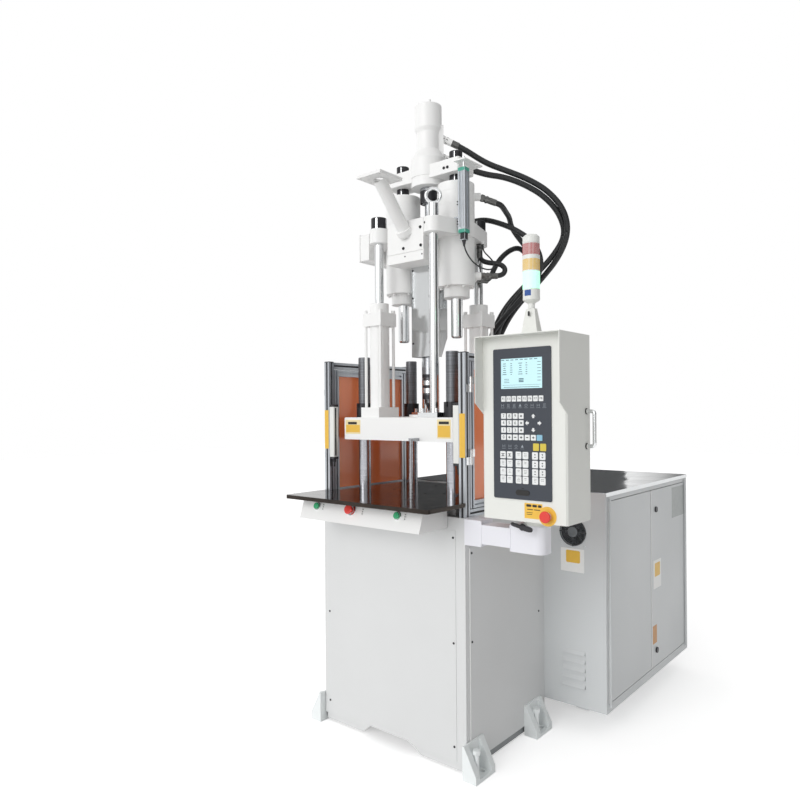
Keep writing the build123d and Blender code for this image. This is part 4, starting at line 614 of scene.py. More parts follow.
def run_tree(name, start, tree, inputs):
    """Runs a tree on a start mesh and gives back the plain mesh that it makes."""
    holder = bpy.data.objects.new(name + "_start", start)
    bpy.context.scene.collection.objects.link(holder)
    maker = holder.modifiers.new("maker", "NODES")
    maker.node_group = tree
    for socket in tree.interface.items_tree:
        if socket.in_out == "INPUT" and socket.name in inputs:
            maker[socket.identifier] = inputs[socket.name]
    made = bpy.data.meshes.new_from_object(
        holder.evaluated_get(bpy.context.evaluated_depsgraph_get())
    )
    bpy.data.objects.remove(holder)
    made.name = name
    return made


def repeated(name, part, places, facing, size, finish, body, upright=UP):
    """A piece made of one small part set at many places, one mesh for one body."""
    start = bpy.data.meshes.new(name + "_places")
    start.from_pydata([tuple(place) for place in places], [], [])
    _, up = directions(facing, upright)
    for key, value in (("facing", facing), ("upright", up)):
        attribute = start.attributes.new(key, "FLOAT_VECTOR", "POINT")
        attribute.data.foreach_set("vector", list(value) * len(places))
    tree = bpy.data.node_groups.get("set_parts_on_points") or repeat_tree("set_parts_on_points")
    inputs = {"Part": part, "Width": size[0], "Height": size[1], "Depth": size[2],
              "Finish": bpy.data.materials[finish]}
    mesh = run_tree(name, start, tree, inputs)
    return place_mesh(name, mesh, finish, body)


def small_part(name, build):
    """A unit-sized part for the repeats, kept out of the scene."""
    found = bpy.data.objects.get(name)
    if found:
        return found
    shape = bmesh.new()
    build(shape)
    bmesh.ops.recalc_face_normals(shape, faces=shape.faces)
    mesh = mesh_from(shape, name)
    mesh.set_sharp_from_angle(angle=CREASE)
    return bpy.data.objects.new(name, mesh)


def socket_screw():
    """A round-headed screw with a hexagon socket, one unit across and one high."""

    def build(shape):
        sides = 24
        profile = ((0.5, 0.0), (0.5, 0.35), (0.46, 0.7), (0.36, 0.94), (0.24, 1.0))
        rings = [circle(UP * height, RIGHT, BACK, radius, sides) for radius, height in profile]
        for height in (1.0, 0.35):
            ring = []
            for side in range(sides):
                angle = math.tau * side / sides
                flat = 0.19 * math.cos(math.pi / 6) / math.cos(angle % (math.pi / 3) - math.pi / 6)
                ring.append((flat * math.cos(angle), flat * math.sin(angle), height))
            rings.append(ring)
        skin(shape, points_of(shape, rings))

    return small_part("socket_screw", build)


def key_cap():
    """A rounded key cap, one unit wide, high and deep."""

    def build(shape):
        add_plate(shape, Vector((0, 0, 1)), UP, 1, 1, 1, 0.12, 0.03, upright=BACK)

    return small_part("key_cap", build)


# Hoses


def spline_line(name, route):
    """Points along the smooth line of a route whose points steer it."""
    curve = bpy.data.curves.new(name, "CURVE")
    curve.dimensions = "3D"
    curve.resolution_u = 10
    spline = curve.splines.new("NURBS")
    spline.points.add(len(route) - 1)
    for point, place in zip(spline.points, route):
        point.co = (*place, 1)
    spline.order_u = 3
    spline.use_endpoint_u = True
    guide = bpy.data.objects.new(name, curve)
    bpy.context.scene.collection.objects.link(guide)
    line = bpy.data.meshes.new_from_object(guide)
    points = [vertex.co.copy() for vertex in line.vertices]
    bpy.data.objects.remove(guide)
    bpy.data.meshes.remove(line)
    return points


def hose_rings(points, radius, sides):
    """Rings square to a line, carried along it without twisting."""
    rings = []
    across = None
    for index, point in enumerate(points):
        before = points[max(index - 1, 0)]
        after = points[min(index + 1, len(points) - 1)]
        heading = (after - before).normalized()
        if across is None:
            across, _ = directions(heading)
        across = (across - heading * across.dot(heading)).normalized()
        rings.append(circle(point, across, heading.cross(across), radius, sides))
    return rings


def hose_mesh(name, points, rings):
    """A closed tube through rings, with a map that follows the wrap: round it and along it."""
    shape = bmesh.new()
    sides = len(rings[0])
    rows = points_of(shape, rings)
    wrap = shape.loops.layers.uv.new("wrap")
    travelled = 0.0
    for row in range(len(rows) - 1):
        step = (points[row + 1] - points[row]).length
        for side in range(sides):
            following = (side + 1) % sides
            near, far = rows[row], rows[row + 1]
            face = shape.faces.new((near[side], near[following], far[following], far[side]))
            face.smooth = True
            corners = ((side, 0), (side + 1, 0), (side + 1, step), (side, step))
            for loop, (turn, ahead) in zip(face.loops, corners):
                loop[wrap].uv = (0.07 * turn / sides, travelled + ahead)
        travelled += step
    shape.faces.new(list(reversed(rows[0])))
    shape.faces.new(rows[-1])
    bmesh.ops.recalc_face_normals(shape, faces=shape.faces)
    return mesh_from(shape, name)


def nearest(points, place):
    """Number of the line's point that is nearest to a place."""
    target = Vector(place)
    return min(range(len(points)), key=lambda index: (points[index] - target).length)


def lay_hose(node, route, radius, spans):
    """A hose along its route. A span is its two bodies, where it ends, and where its bend starts
    and ends, though the bend is not used; a span of one body rides on it."""
    points = spline_line(node + "_line", route)
    rings = hose_rings(points, radius, bpy.context.scene.machine_hoses.sides)
    first = 0
    for number, (bodies, end, bend) in enumerate(spans):
        last = len(points) - 1 if end is None else nearest(points, end)
        part = points[first : last + 1]
        name = node if len(spans) == 1 else f"{node}_{number + 1}"
        mesh = hose_mesh(name, part, rings[first : last + 1])
        piece = place_mesh(
            name + "_run", mesh, "hydraulic_hose_rubber", bodies[0],
            smooth=False, ride=len(bodies) == 1,
        )
        if len(bodies) == 2:
            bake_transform(piece)
        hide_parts(node)
        first = last


MOTOR_FEED_ROUTE = [
    (0.08149, 0.06838, 2.60264), (0.11898, 0.09984, 2.57982), (0.186, 0.180, 2.520),
    (0.251, 0.245, 2.489), (0.327, 0.310, 2.451), (0.401, 0.370, 2.394), (0.455, 0.420, 2.308),
    (0.458, 0.455, 2.210), (0.400, 0.470, 2.107), (0.294, 0.474, 2.008), (0.158, 0.466, 1.887),
    (0.088, 0.460, 1.775), (0.040, 0.462, 1.670), (0.022, 0.458, 1.550), (0.012, 0.464, 1.430),
    (0.018, 0.472, 1.310), (0.015, 0.470, 1.190), (0.015, 0.470, 1.075),
]
MOTOR_RETURN_ROUTE = [
    (0.08149, 0.06838, 2.51964), (0.11898, 0.09984, 2.49682), (0.184, 0.175, 2.467),
    (0.247, 0.242, 2.459), (0.318, 0.302, 2.424), (0.383, 0.363, 2.373), (0.428, 0.424, 2.299),
    (0.433, 0.476, 2.210), (0.370, 0.474, 2.120), (0.269, 0.445, 2.020), (0.141, 0.428, 1.908),
    (0.072, 0.424, 1.795), (0.028, 0.420, 1.690), (0.010, 0.414, 1.570), (0.004, 0.418, 1.440),
    (0.014, 0.428, 1.310), (0.015, 0.425, 1.195), (0.015, 0.425, 1.075),
]
CYLINDER_TOP_ROUTE = [
    (0.25972, 0.09206, 2.31427), (0.27987, 0.10898, 2.30469), (0.292, 0.137, 2.299),
    (0.287, 0.168, 2.292), (0.275, 0.208, 2.286), (0.262, 0.260, 2.276), (0.244, 0.304, 2.246),
    (0.259, 0.336, 2.203), (0.298, 0.354, 2.148), (0.328, 0.364, 2.067), (0.312, 0.366, 1.986),
    (0.223, 0.364, 1.907), (0.124, 0.372, 1.790), (0.092, 0.384, 1.680), (0.082, 0.390, 1.560),
    (0.070, 0.388, 1.440), (0.076, 0.396, 1.310), (0.075, 0.393, 1.190), (0.075, 0.393, 1.075),
]
SEAT_ROUTE = [
    (-0.08830, 0.13232, 2.262), (-0.06717, 0.17764, 2.262), (-0.020, 0.212, 2.270),
    (0.048, 0.228, 2.278), (0.118, 0.226, 2.284), (0.180, 0.232, 2.272), (0.280, 0.266, 2.225),
    (0.357, 0.302, 2.161), (0.390, 0.324, 2.083), (0.368, 0.337, 2.002), (0.287, 0.335, 1.920),
    (0.177, 0.333, 1.828), (0.106, 0.340, 1.760), (0.084, 0.348, 1.650), (0.072, 0.352, 1.530),
    (0.080, 0.346, 1.410), (0.072, 0.350, 1.290), (0.075, 0.352, 1.180), (0.075, 0.352, 1.075),
]
CYLINDER_BOTTOM_ROUTE = [
    (0.18779, 0.14103, 1.985), (0.19607, 0.17193, 1.985), (0.200, 0.202, 2.010),
    (0.202, 0.230, 2.055), (0.214, 0.268, 2.104), (0.232, 0.318, 2.144), (0.250, 0.366, 2.160),
    (0.276, 0.392, 2.130), (0.300, 0.398, 2.071), (0.280, 0.396, 1.999), (0.223, 0.392, 1.934),
    (0.162, 0.392, 1.885), (0.112, 0.400, 1.790), (0.086, 0.418, 1.680), (0.066, 0.430, 1.560),
    (0.072, 0.436, 1.440), (0.080, 0.432, 1.310), (0.075, 0.434, 1.190), (0.075, 0.434, 1.075),
]
LINK_ROUTE = [
    (0.26184, 0.09385, 1.985), (0.28635, 0.11442, 1.985), (0.304, 0.136, 1.993),
    (0.306, 0.150, 2.016), (0.288, 0.154, 2.038), (0.257, 0.149, 2.050), (0.222, 0.138, 2.056),
    (0.196, 0.130, 2.068), (0.186, 0.128, 2.088), (0.186, 0.128, 2.112),
]
SENSOR_CABLE_ROUTE = [
    (0.244, -0.078, 2.112), (0.244, -0.078, 2.085), (0.254, -0.066, 2.050), (0.271, -0.048, 2.018),
    (0.292, -0.018, 1.997), (0.306, 0.020, 1.994), (0.306, 0.054, 2.008), (0.292, 0.080, 2.036),
    (0.262, 0.092, 2.066), (0.234, 0.094, 2.092), (0.226, 0.094, 2.110), (0.226, 0.094, 2.130),
]


def seen_share(tree, hidden, seen):
    """A number that is one thing for rays from the eye and from shiny surfaces, else another."""
    path = add_node(tree, "ShaderNodeLightPath")
    either = path.outputs["Is Camera Ray"]
    for other in ("Is Glossy Ray", "Is Transmission Ray"):
        either = add_node(
            tree, "ShaderNodeMath", {"operation": "MAXIMUM"}, {0: either, 1: path.outputs[other]}
        ).outputs[0]
    return add_node(
        tree, "ShaderNodeMapRange", (), {"Value": either, "To Min": hidden, "To Max": seen}
    ).outputs["Result"]


class MACHINE_OT_finishes(bpy.types.Operator):
    """Makes every finish and gives each solid of the machine its own"""

    bl_idname = "machine.finishes"
    bl_label = "Finishes"

    def execute(self, context):
        paint = context.scene.machine_paint
        powder_coat("powder_coat_white", paint.machine, 0.38, paint.peel)
        powder_coat("powder_coat_base", paint.base, 0.38, paint.peel)
        powder_coat("powder_coat_pale_grey", paint.control, 0.4, paint.peel)
        powder_coat("powder_coat_cabinet_grey", paint.cabinet, 0.36, paint.peel)
        powder_coat("tank_paint", paint.tank, 0.45, paint.peel)
        hard_chrome()
        turned_steel("turned_steel", linear("BFC1C4"), linear("8E9195"), 0.26)
        turned_steel("nozzle_steel", linear("77787A"), linear("3C3D40"), 0.32)
        turned_steel("ground_tie_bar_steel", linear("C9CACF"), linear("9C9EA5"), 0.16)
        black_oxide()
        oiled_table()
        polished_sheet()
        anodised_aluminium()
        zinc_plate()
        amber_acrylic()
        for name, code, roughness in (
            ("green_plastic", "17805A", 0.3),
            ("teal_plastic", "45A891", 0.35),
            ("red_plastic", "C7272B", 0.3),
            ("black_plastic", "161718", 0.4),
            ("white_plastic", "EDEEEA", 0.35),
            ("key_white", "EEF0F0", 0.35),
            ("key_yellow", "DCC548", 0.35),
            ("key_blue", "8FC3DA", 0.35),
            ("grille_grey", "6A6F72", 0.4),
        ):
            moulded_plastic(name, linear(code), roughness)
        membrane_foil()
        hose_rubber()
        for name, code, glow in (
            ("lens_green", "A4F7CB", 1.3),
            ("lens_yellow", "E2B41C", 0.12),
            ("lens_red", "AE0E20", 0.04),
        ):
            lamp_lens(name, linear(code), glow)
        turned_steel("crimped_fitting_steel", linear("8E8E8C"), linear("343434"), 0.3)
        turned_steel("tie_bar_thread", linear("9A9CA0"), linear("54565B"), 0.42)
        powder_coat("cast_foot_grey", linear("F0F4F4"), 0.42, paint.peel)
        powder_coat("rail_grey", linear("8E9294"), 0.45, paint.peel)
        powder_coat("arm_white", linear("EDEDF3"), 0.34, paint.peel)
        for name, code in (
            ("label_pale", "F4E2B0"),
            ("plate_grey", "A9AEAD"),
            ("mark_dark", "33373C"),
            ("mark_pale", "9BA3AB"),
            ("label_yellow", "EFC04A"),
            ("label_white", "F3F3F1"),
            ("label_black", "1C1B1A"),
            ("label_blue", "1E4E9A"),
            ("label_orange", "C98A3C"),
        ):
            printed_label(name, linear(code))
        panel = context.scene.machine_panel
        lit_screen(panel.screen, "lit_screen", 0.16)
        lit_screen(panel.ink, "screen_ink", 0.1)
        coats = {
            "powder_coat_white": (
                "fixed_platen", "button_box", "platen", "lower_crosshead", "carriage_cylinders",
                "clamp_cylinder", "injection_seat", "injection_cylinders", "feed_pipe", "junction_box",
                "crosshead", "hydraulic_motor",
            ),
            "powder_coat_base": ("base_frame", "base_covers"),
            "cast_foot_grey": ("levelling_feet",),
            "arm_white": ("control_arm",),
            "powder_coat_pale_grey": ("control_box",),
            "powder_coat_cabinet_grey": ("cabinet_shell", "front_cabinet_door", "rear_cabinet_door"),
            "tank_paint": ("power_pack",),
            "galvanised_steel": ("electrics_panel",),
            "bright_stainless_sheet": ("cabinet_top", "barrel_guard"),
            "oiled_tool_steel": ("table",),
            "hard_chrome": ("guide_rods", "carriage_rods", "injection_rods", "ejector_rod"),
            "ground_tie_bar_steel": ("tie_bars",),
            "black_oxide_steel": ("tie_bar_nuts", "lower_door_lock", "upper_door_lock"),
            "turned_steel": ("barrel", "screw", "platen_sensor_rod", "platen_sensor_body"),
            "nozzle_steel": ("nozzle",),
            "anodised_aluminium": (
                "guard_frames", "left_guard_door", "right_guard_door", "transducer_body",
            ),
            "amber_acrylic": ("left_door_pane", "right_door_pane"),
            "white_plastic": ("light_curtains", "stack_light"),
            "green_plastic": ("left_start_button", "right_start_button"),
            "red_plastic": ("table_estop", "panel_estop"),
            "black_plastic": ("fan_frame", "fan_rotor"),
            "membrane_foil": ("control_panel",),
            "hydraulic_hose_rubber": (
                "motor_feed_hose", "motor_return_hose", "cylinder_top_hose", "seat_hose",
                "cylinder_bottom_hose", "link_hose", "sensor_cable",
            ),
        }
        for finish, nodes in coats.items():
            for node in nodes:
                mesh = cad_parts[node].data
                mesh.materials.clear()
                mesh.materials.append(bpy.data.materials[finish])
                for face in mesh.polygons:
                    face.material_index = 0
        undressed = set(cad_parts) - {node for nodes in coats.values() for node in nodes}
        if undressed:
            raise RuntimeError(f"no finish for {sorted(undressed)}")
        return {"FINISHED"}


class MACHINE_OT_motor_hoses(bpy.types.Operator):
    """Lays the two hoses from the screw motor down into the cabinet"""

    bl_idname = "machine.motor_hoses"
    bl_label = "Motor hoses"

    def execute(self, context):
        radius = context.scene.machine_hoses.motor_radius
        # the numbers of the route's points where the head's run and the unit's run end
        head_end, unit_end = 7, 11
        for node, route in (
            ("motor_feed_hose", MOTOR_FEED_ROUTE), ("motor_return_hose", MOTOR_RETURN_ROUTE)
        ):
            lay_hose(
                node, route, radius,
                (
                    (
                        ("injection_head", "injection_unit"), route[head_end],
                        (route[1], route[head_end - 1]),
                    ),
                    (("injection_unit", "clamp"), route[unit_end], (route[head_end], route[unit_end])),
                    (("clamp", "frame"), None, (route[unit_end + 1], route[-2])),
                ),
            )
        return {"FINISHED"}


class MACHINE_OT_cylinder_hoses(bpy.types.Operator):
    """Lays the three hoses from the injection cylinders down into the cabinet"""

    bl_idname = "machine.cylinder_hoses"
    bl_label = "Cylinder hoses"

    def execute(self, context):
        radius = context.scene.machine_hoses.cylinder_radius
        for node, route, high, low in (
            ("cylinder_top_hose", CYLINDER_TOP_ROUTE, (0.31, 0.366, 2.02), (0.09, 0.386, 1.62)),
            ("seat_hose", SEAT_ROUTE, (0.36, 0.337, 1.99), (0.08, 0.350, 1.60)),
            ("cylinder_bottom_hose", CYLINDER_BOTTOM_ROUTE, (0.20, 0.392, 1.92), (0.08, 0.425, 1.60)),
        ):
            lay_hose(
                node, route, radius,
                (
                    (("injection_unit", "clamp"), low, (high, low)),
                    (("clamp", "frame"), None, (low, route[-2])),
                ),
            )
        return {"FINISHED"}


class MACHINE_OT_link_hose(bpy.types.Operator):
    """Lays the short link hose and the transducer's cable on the injection unit"""

    bl_idname = "machine.link_hose"
    bl_label = "Link hose and sensor cable"

    def execute(self, context):
        sizes = context.scene.machine_hoses
        lay_hose("link_hose", LINK_ROUTE, sizes.link_radius, ((("injection_unit",), None, None),))
        lay_hose(
            "sensor_cable", SENSOR_CABLE_ROUTE, sizes.cable_radius, ((("injection_unit",), None, None),)
        )
        return {"FINISHED"}


POST_X = 0.370
POST_FRONT_Y, POST_REAR_Y = -0.270, 0.275
POST_FACE = 0.0153
CURTAIN_X = 0.341
HINGE_Y = -0.2535
HINGE_HEIGHTS = (1.220, 1.500)


class MACHINE_OT_guard_fittings(bpy.types.Operator):
    """Adds the guard posts' caps and slot strips, the curtains' windows and plugs, and the hinges"""

    bl_idname = "machine.guard_fittings"
    bl_label = "Guard fittings"

    def execute(self, context):
        caps, strips, plugs, windows, leaves = (bmesh.new() for _ in range(5))
        for side, outward, inward in ((-1, LEFT, RIGHT), (1, RIGHT, LEFT)):
            for middle in (POST_FRONT_Y, POST_REAR_Y):
                top = Vector((side * POST_X, middle, 1.6254))
                add_plate(caps, top, UP, 0.0304, 0.0304, 0.0036, 0.002, 0.0006, upright=BACK)
            outer_face, inner_face = side * (POST_X + POST_FACE), side * 0.3558
            for x, y, facing in (
                (side * POST_X, POST_FRONT_Y - POST_FACE, FRONT),
                (outer_face, POST_FRONT_Y, outward),
                (inner_face, POST_FRONT_Y, inward),
                (outer_face, POST_REAR_Y, outward),
                (side * POST_X, POST_REAR_Y + POST_FACE, BACK),
            ):
                add_plate(strips, Vector((x, y, 1.304)), facing, 0.0096, 0.632, 0.004, 0.001)
            for height in (1.002, 1.607):
                for face, facing in ((0.3842, outward), (0.3558, inward)):
                    place = Vector((side * face, 0.0025, height))
                    add_plate(strips, place, facing, 0.512, 0.0076, 0.004, 0.001)
            for height, thickness in ((1.4303, 0.0106), (1.1952, 0.0104)):
                top = Vector((side * CURTAIN_X, POST_FRONT_Y, height))
                add_plate(plugs, top, UP, 0.0286, 0.0306, thickness, 0.004, 0.0008, upright=BACK)
            add_turned(
                plugs, Vector((side * CURTAIN_X, -0.268, 1.1855)), DOWN,
                ((0.007, 0), (0.007, 0.014), (0.0045, 0.016), (0.0038, 0.034), (0.0025, 0.036)), 20,
            )
            window = Vector((side * 0.3268, -0.2735, 1.3075))
            add_plate(windows, window, inward, 0.009, 0.215, 0.0006, 0.002)
            for height in HINGE_HEIGHTS:
                add_turned(
                    leaves, Vector((side * 0.391, HINGE_Y, height - 0.0304)), UP,
                    ((0.0055, 0), (0.0064, 0.0006), (0.0064, 0.0602), (0.0055, 0.0608)), 28,
                )
                for reach in (-0.0175, 0.0175):
                    lift = height - 0.015 if reach < 0 else height + 0.015
                    place = Vector((side * 0.3893, HINGE_Y + reach, lift))
                    add_plate(leaves, place, outward, 0.0225, 0.0295, 0.0006, 0.002)
        as_piece("guard_post_caps", caps, "black_plastic", "frame")
        as_piece("guard_slot_strips", strips, "black_plastic", "frame")
        as_piece("light_curtain_plugs", plugs, "black_plastic", "frame")
        as_piece("light_curtain_windows", windows, "label_black", "frame")
        as_piece("guard_hinge_plates", leaves, "hard_chrome", "frame")
        sticker(
            "guard_post_fields", "label_yellow", "frame",
            (((-0.3725, -0.2853, 1.318), FRONT, 0.0245, 0.174, 0.001),
             ((0.3715, -0.2853, 1.303), FRONT, 0.0265, 0.170, 0.001)),
        )
        return {"FINISHED"}


LAMP_FOOT = Vector((0.665, -0.270, 0))


class MACHINE_OT_lamp_lenses(bpy.types.Operator):
    """Sets the ribbed lenses and the small field on the signal lamp"""

    bl_idname = "machine.lamp_lenses"
    bl_label = "Lamp lenses"

    def execute(self, context):
        lamp = context.scene.machine_lamp
        for name, low, high in (
            ("green", 1.8295, 1.8925), ("yellow", 1.8965, 1.9365), ("red", 1.9505, 1.9915)
        ):
            shape = bmesh.new()
            rings = []
            for height, shrink in ((low, 0.0006), (low + 0.0006, 0), (high - 0.0006, 0), (high, 0.0006)):
                ring = []
                for step in range(4 * lamp.ribs):
                    turn = math.tau * step / (4 * lamp.ribs)
                    reach = lamp.radius - shrink - (lamp.rib if step % 4 in (0, 1) else 0)
                    ring.append(
                        LAMP_FOOT + Vector((reach * math.cos(turn), reach * math.sin(turn), height))
                    )
                rings.append(ring)
            skin(shape, points_of(shape, rings))
            as_piece(f"lamp_lens_{name}", shape, f"lens_{name}", "control_unit")
        shape = bmesh.new()
        for low, high in ((1.8925, 1.8965), (1.9365, 1.9505), (1.9915, 1.9945)):
            add_ring(shape, LAMP_FOOT, UP, ring_section(0.028, 0.0306, low, high, 0.0008), 64)
        add_ring(shape, LAMP_FOOT, UP, ring_section(0.026, 0.0306, 1.7925, 1.8005, 0.0015), 64)
        as_piece("lamp_joint_rings", shape, "white_plastic", "control_unit")
        shape = bmesh.new()
        steps = 9
        rings = []
        for reach in (0.0299, 0.0304):
            ring = []
            for height, order in ((1.8045, 1), (1.8255, -1)):
                for step in range(steps)[::order]:
                    turn = math.radians(-112 + 48 * step / (steps - 1))
                    ring.append(
                        LAMP_FOOT + Vector((reach * math.cos(turn), reach * math.sin(turn), height))
                    )
            rings.append(ring)
        skin(shape, points_of(shape, rings))
        as_piece("lamp_foot_field", shape, "label_blue", "control_unit")
        # the slot through the lamp's bracket is a flat black field: painted shade standing for the dark
        # opening
        sticker(
            "lamp_bracket_slot", "label_black", "control_unit",
            (((0.665, -0.2903, 1.742), FRONT, 0.008, 0.018, 0.0035),), 0.0002,
        )
        return {"FINISHED"}


PANEL_FACE = -0.367
PRINT = 0.0002
# each row of number keys: its height, how many keys it has, and the digits on the first of them
NUMBER_ROWS = ((1.379, 4, "789"), (1.355, 4, "456"), (1.330, 4, "123"), (1.305, 6, "0"))
FUNCTION_ROW = 1.439
MACHINE_COLUMNS = (0.603, 0.630, 0.665, 0.692, 0.729, 0.757)
MACHINE_ROWS = (1.243, 1.214, 1.185, 1.158)


def number_column(column):
    """Where a column of number keys stands across the panel."""
    return 0.606 + 0.0234 * column


def key_places(columns, rows):
    """Places of keys on the panel's face."""
    return [(x, PANEL_FACE, z) for z in rows for x in columns]


def add_letters(shape, text, place, size):
    """Raised letters, their middle at a place on the panel."""
    curve = bpy.data.curves.new("letters", "FONT")
    curve.body = text
    curve.size = size
    curve.align_x = "CENTER"
    curve.align_y = "CENTER"
    curve.extrude = 0.0001
    holder = bpy.data.objects.new("letters", curve)
    mesh = bpy.data.meshes.new_from_object(holder)
    mesh.transform(Matrix.Translation(place) @ Matrix.Rotation(math.pi / 2, 4, "X"))
    shape.from_mesh(mesh)
    bpy.data.objects.remove(holder)
    bpy.data.curves.remove(curve)
    bpy.data.meshes.remove(mesh)


class MACHINE_OT_panel_keys(bpy.types.Operator):
    """Sets the key caps on the operating panel, with digits and plain marks"""

    bl_idname = "machine.panel_keys"
    bl_label = "Panel keys"

    def execute(self, context):
        rise = context.scene.machine_panel.key_rise
        numbers = [
            (number_column(column), PANEL_FACE, z)
            for z, count, _ in NUMBER_ROWS
            for column in range(count)
        ]
        machine = key_places(MACHINE_COLUMNS, MACHINE_ROWS)
        functions = key_places([0.606 + 0.021 * key for key in range(8)], (FUNCTION_ROW,))
        cap = key_cap()
        for name, places, width, height, finish in (
            ("function_keys", functions, 0.0172, 0.0192, "key_white"),
            ("number_keys", numbers, 0.0192, 0.0192, "key_white"),
            ("blue_key", [(0.7464, PANEL_FACE, 1.305)], 0.0212, 0.0202, "key_blue"),
            ("yellow_keys", key_places((0.733, 0.760), (1.273,)), 0.0222, 0.0252, "key_yellow"),
            ("machine_keys", machine, 0.0222, 0.0252, "key_white"),
        ):
            repeated(name, cap, places, FRONT, (width, height, rise), finish, "control_unit")

        shape = bmesh.new()
        for (x, z), turn in (
            ((0.723, 1.378), 0), ((0.746, 1.355), 3), ((0.723, 1.332), 2), ((0.700, 1.355), 1)
        ):
            corners = [(0, 0.008), (-0.008, 0), (-0.0035, 0), (-0.0035, -0.006), (0.0035, -0.006),
                       (0.0035, 0), (0.008, 0)]
            for _ in range(turn):
                corners = [(-up, across) for across, up in corners]
            add_prism(shape, corners, Vector((x, PANEL_FACE - rise, z)), FRONT, rise)
        as_piece("arrow_keys", shape, "key_white", "control_unit", smooth=False)

        mark = context.scene.machine_panel.mark
        front = PANEL_FACE - rise
        shape = bmesh.new()
        for number, (x, _, z) in enumerate(functions):
            add_letters(shape, f"F{number + 1}", (x, front, z), 0.0115)
        for z, count, digits in NUMBER_ROWS:
            for column, digit in enumerate(digits):
                add_letters(shape, digit, (number_column(column), front, z), 0.0155)
            for column in range(len(digits), count):
                place = Vector((number_column(column), front - PRINT / 2, z))
                add_plate(shape, place, FRONT, 0.009, 3 * mark, PRINT, mark, PRINT / 2)
                if column % 2:
                    add_plate(shape, place, FRONT, 2 * mark, 0.009, PRINT, mark, PRINT / 2)
        for number, (x, _, z) in enumerate(machine):
            row, column = divmod(number, len(MACHINE_COLUMNS))
            place = Vector((x, front - PRINT / 2, z))
            if column in (0, 1) and row == 0:
                for lift in (0.004, -0.004):
                    add_plate(shape, place + lift * UP, FRONT, 0.013, 2 * mark, PRINT, mark, PRINT / 2)
                add_plate(shape, place, FRONT, 3 * mark, 0.009, PRINT, mark, PRINT / 2)
            elif column in (4, 5) and row < 3:
                pair = ((-1, 1), (1, 1)) if column == 4 else ((1, -1), (-1, -1))
                for lift, way in pair:
                    tip = [(0, 0.003 * way), (-0.0035 * way, -0.002 * way), (0.0035 * way, -0.002 * way)]
                    add_prism(shape, tip, place + 0.0045 * lift * UP, FRONT, PRINT)
            else:
                for line in range(2 + (number + row) % 2):
                    width = 0.008 + 0.004 * ((number * 5 + line * 3) % 4) / 3
                    lift = 0.006 - 0.005 * line
                    add_plate(shape, place + lift * UP, FRONT, width, mark, PRINT, mark / 2, PRINT / 2)
        as_piece("key_marks", shape, "mark_dark", "control_unit", smooth=False)
        return {"FINISHED"}


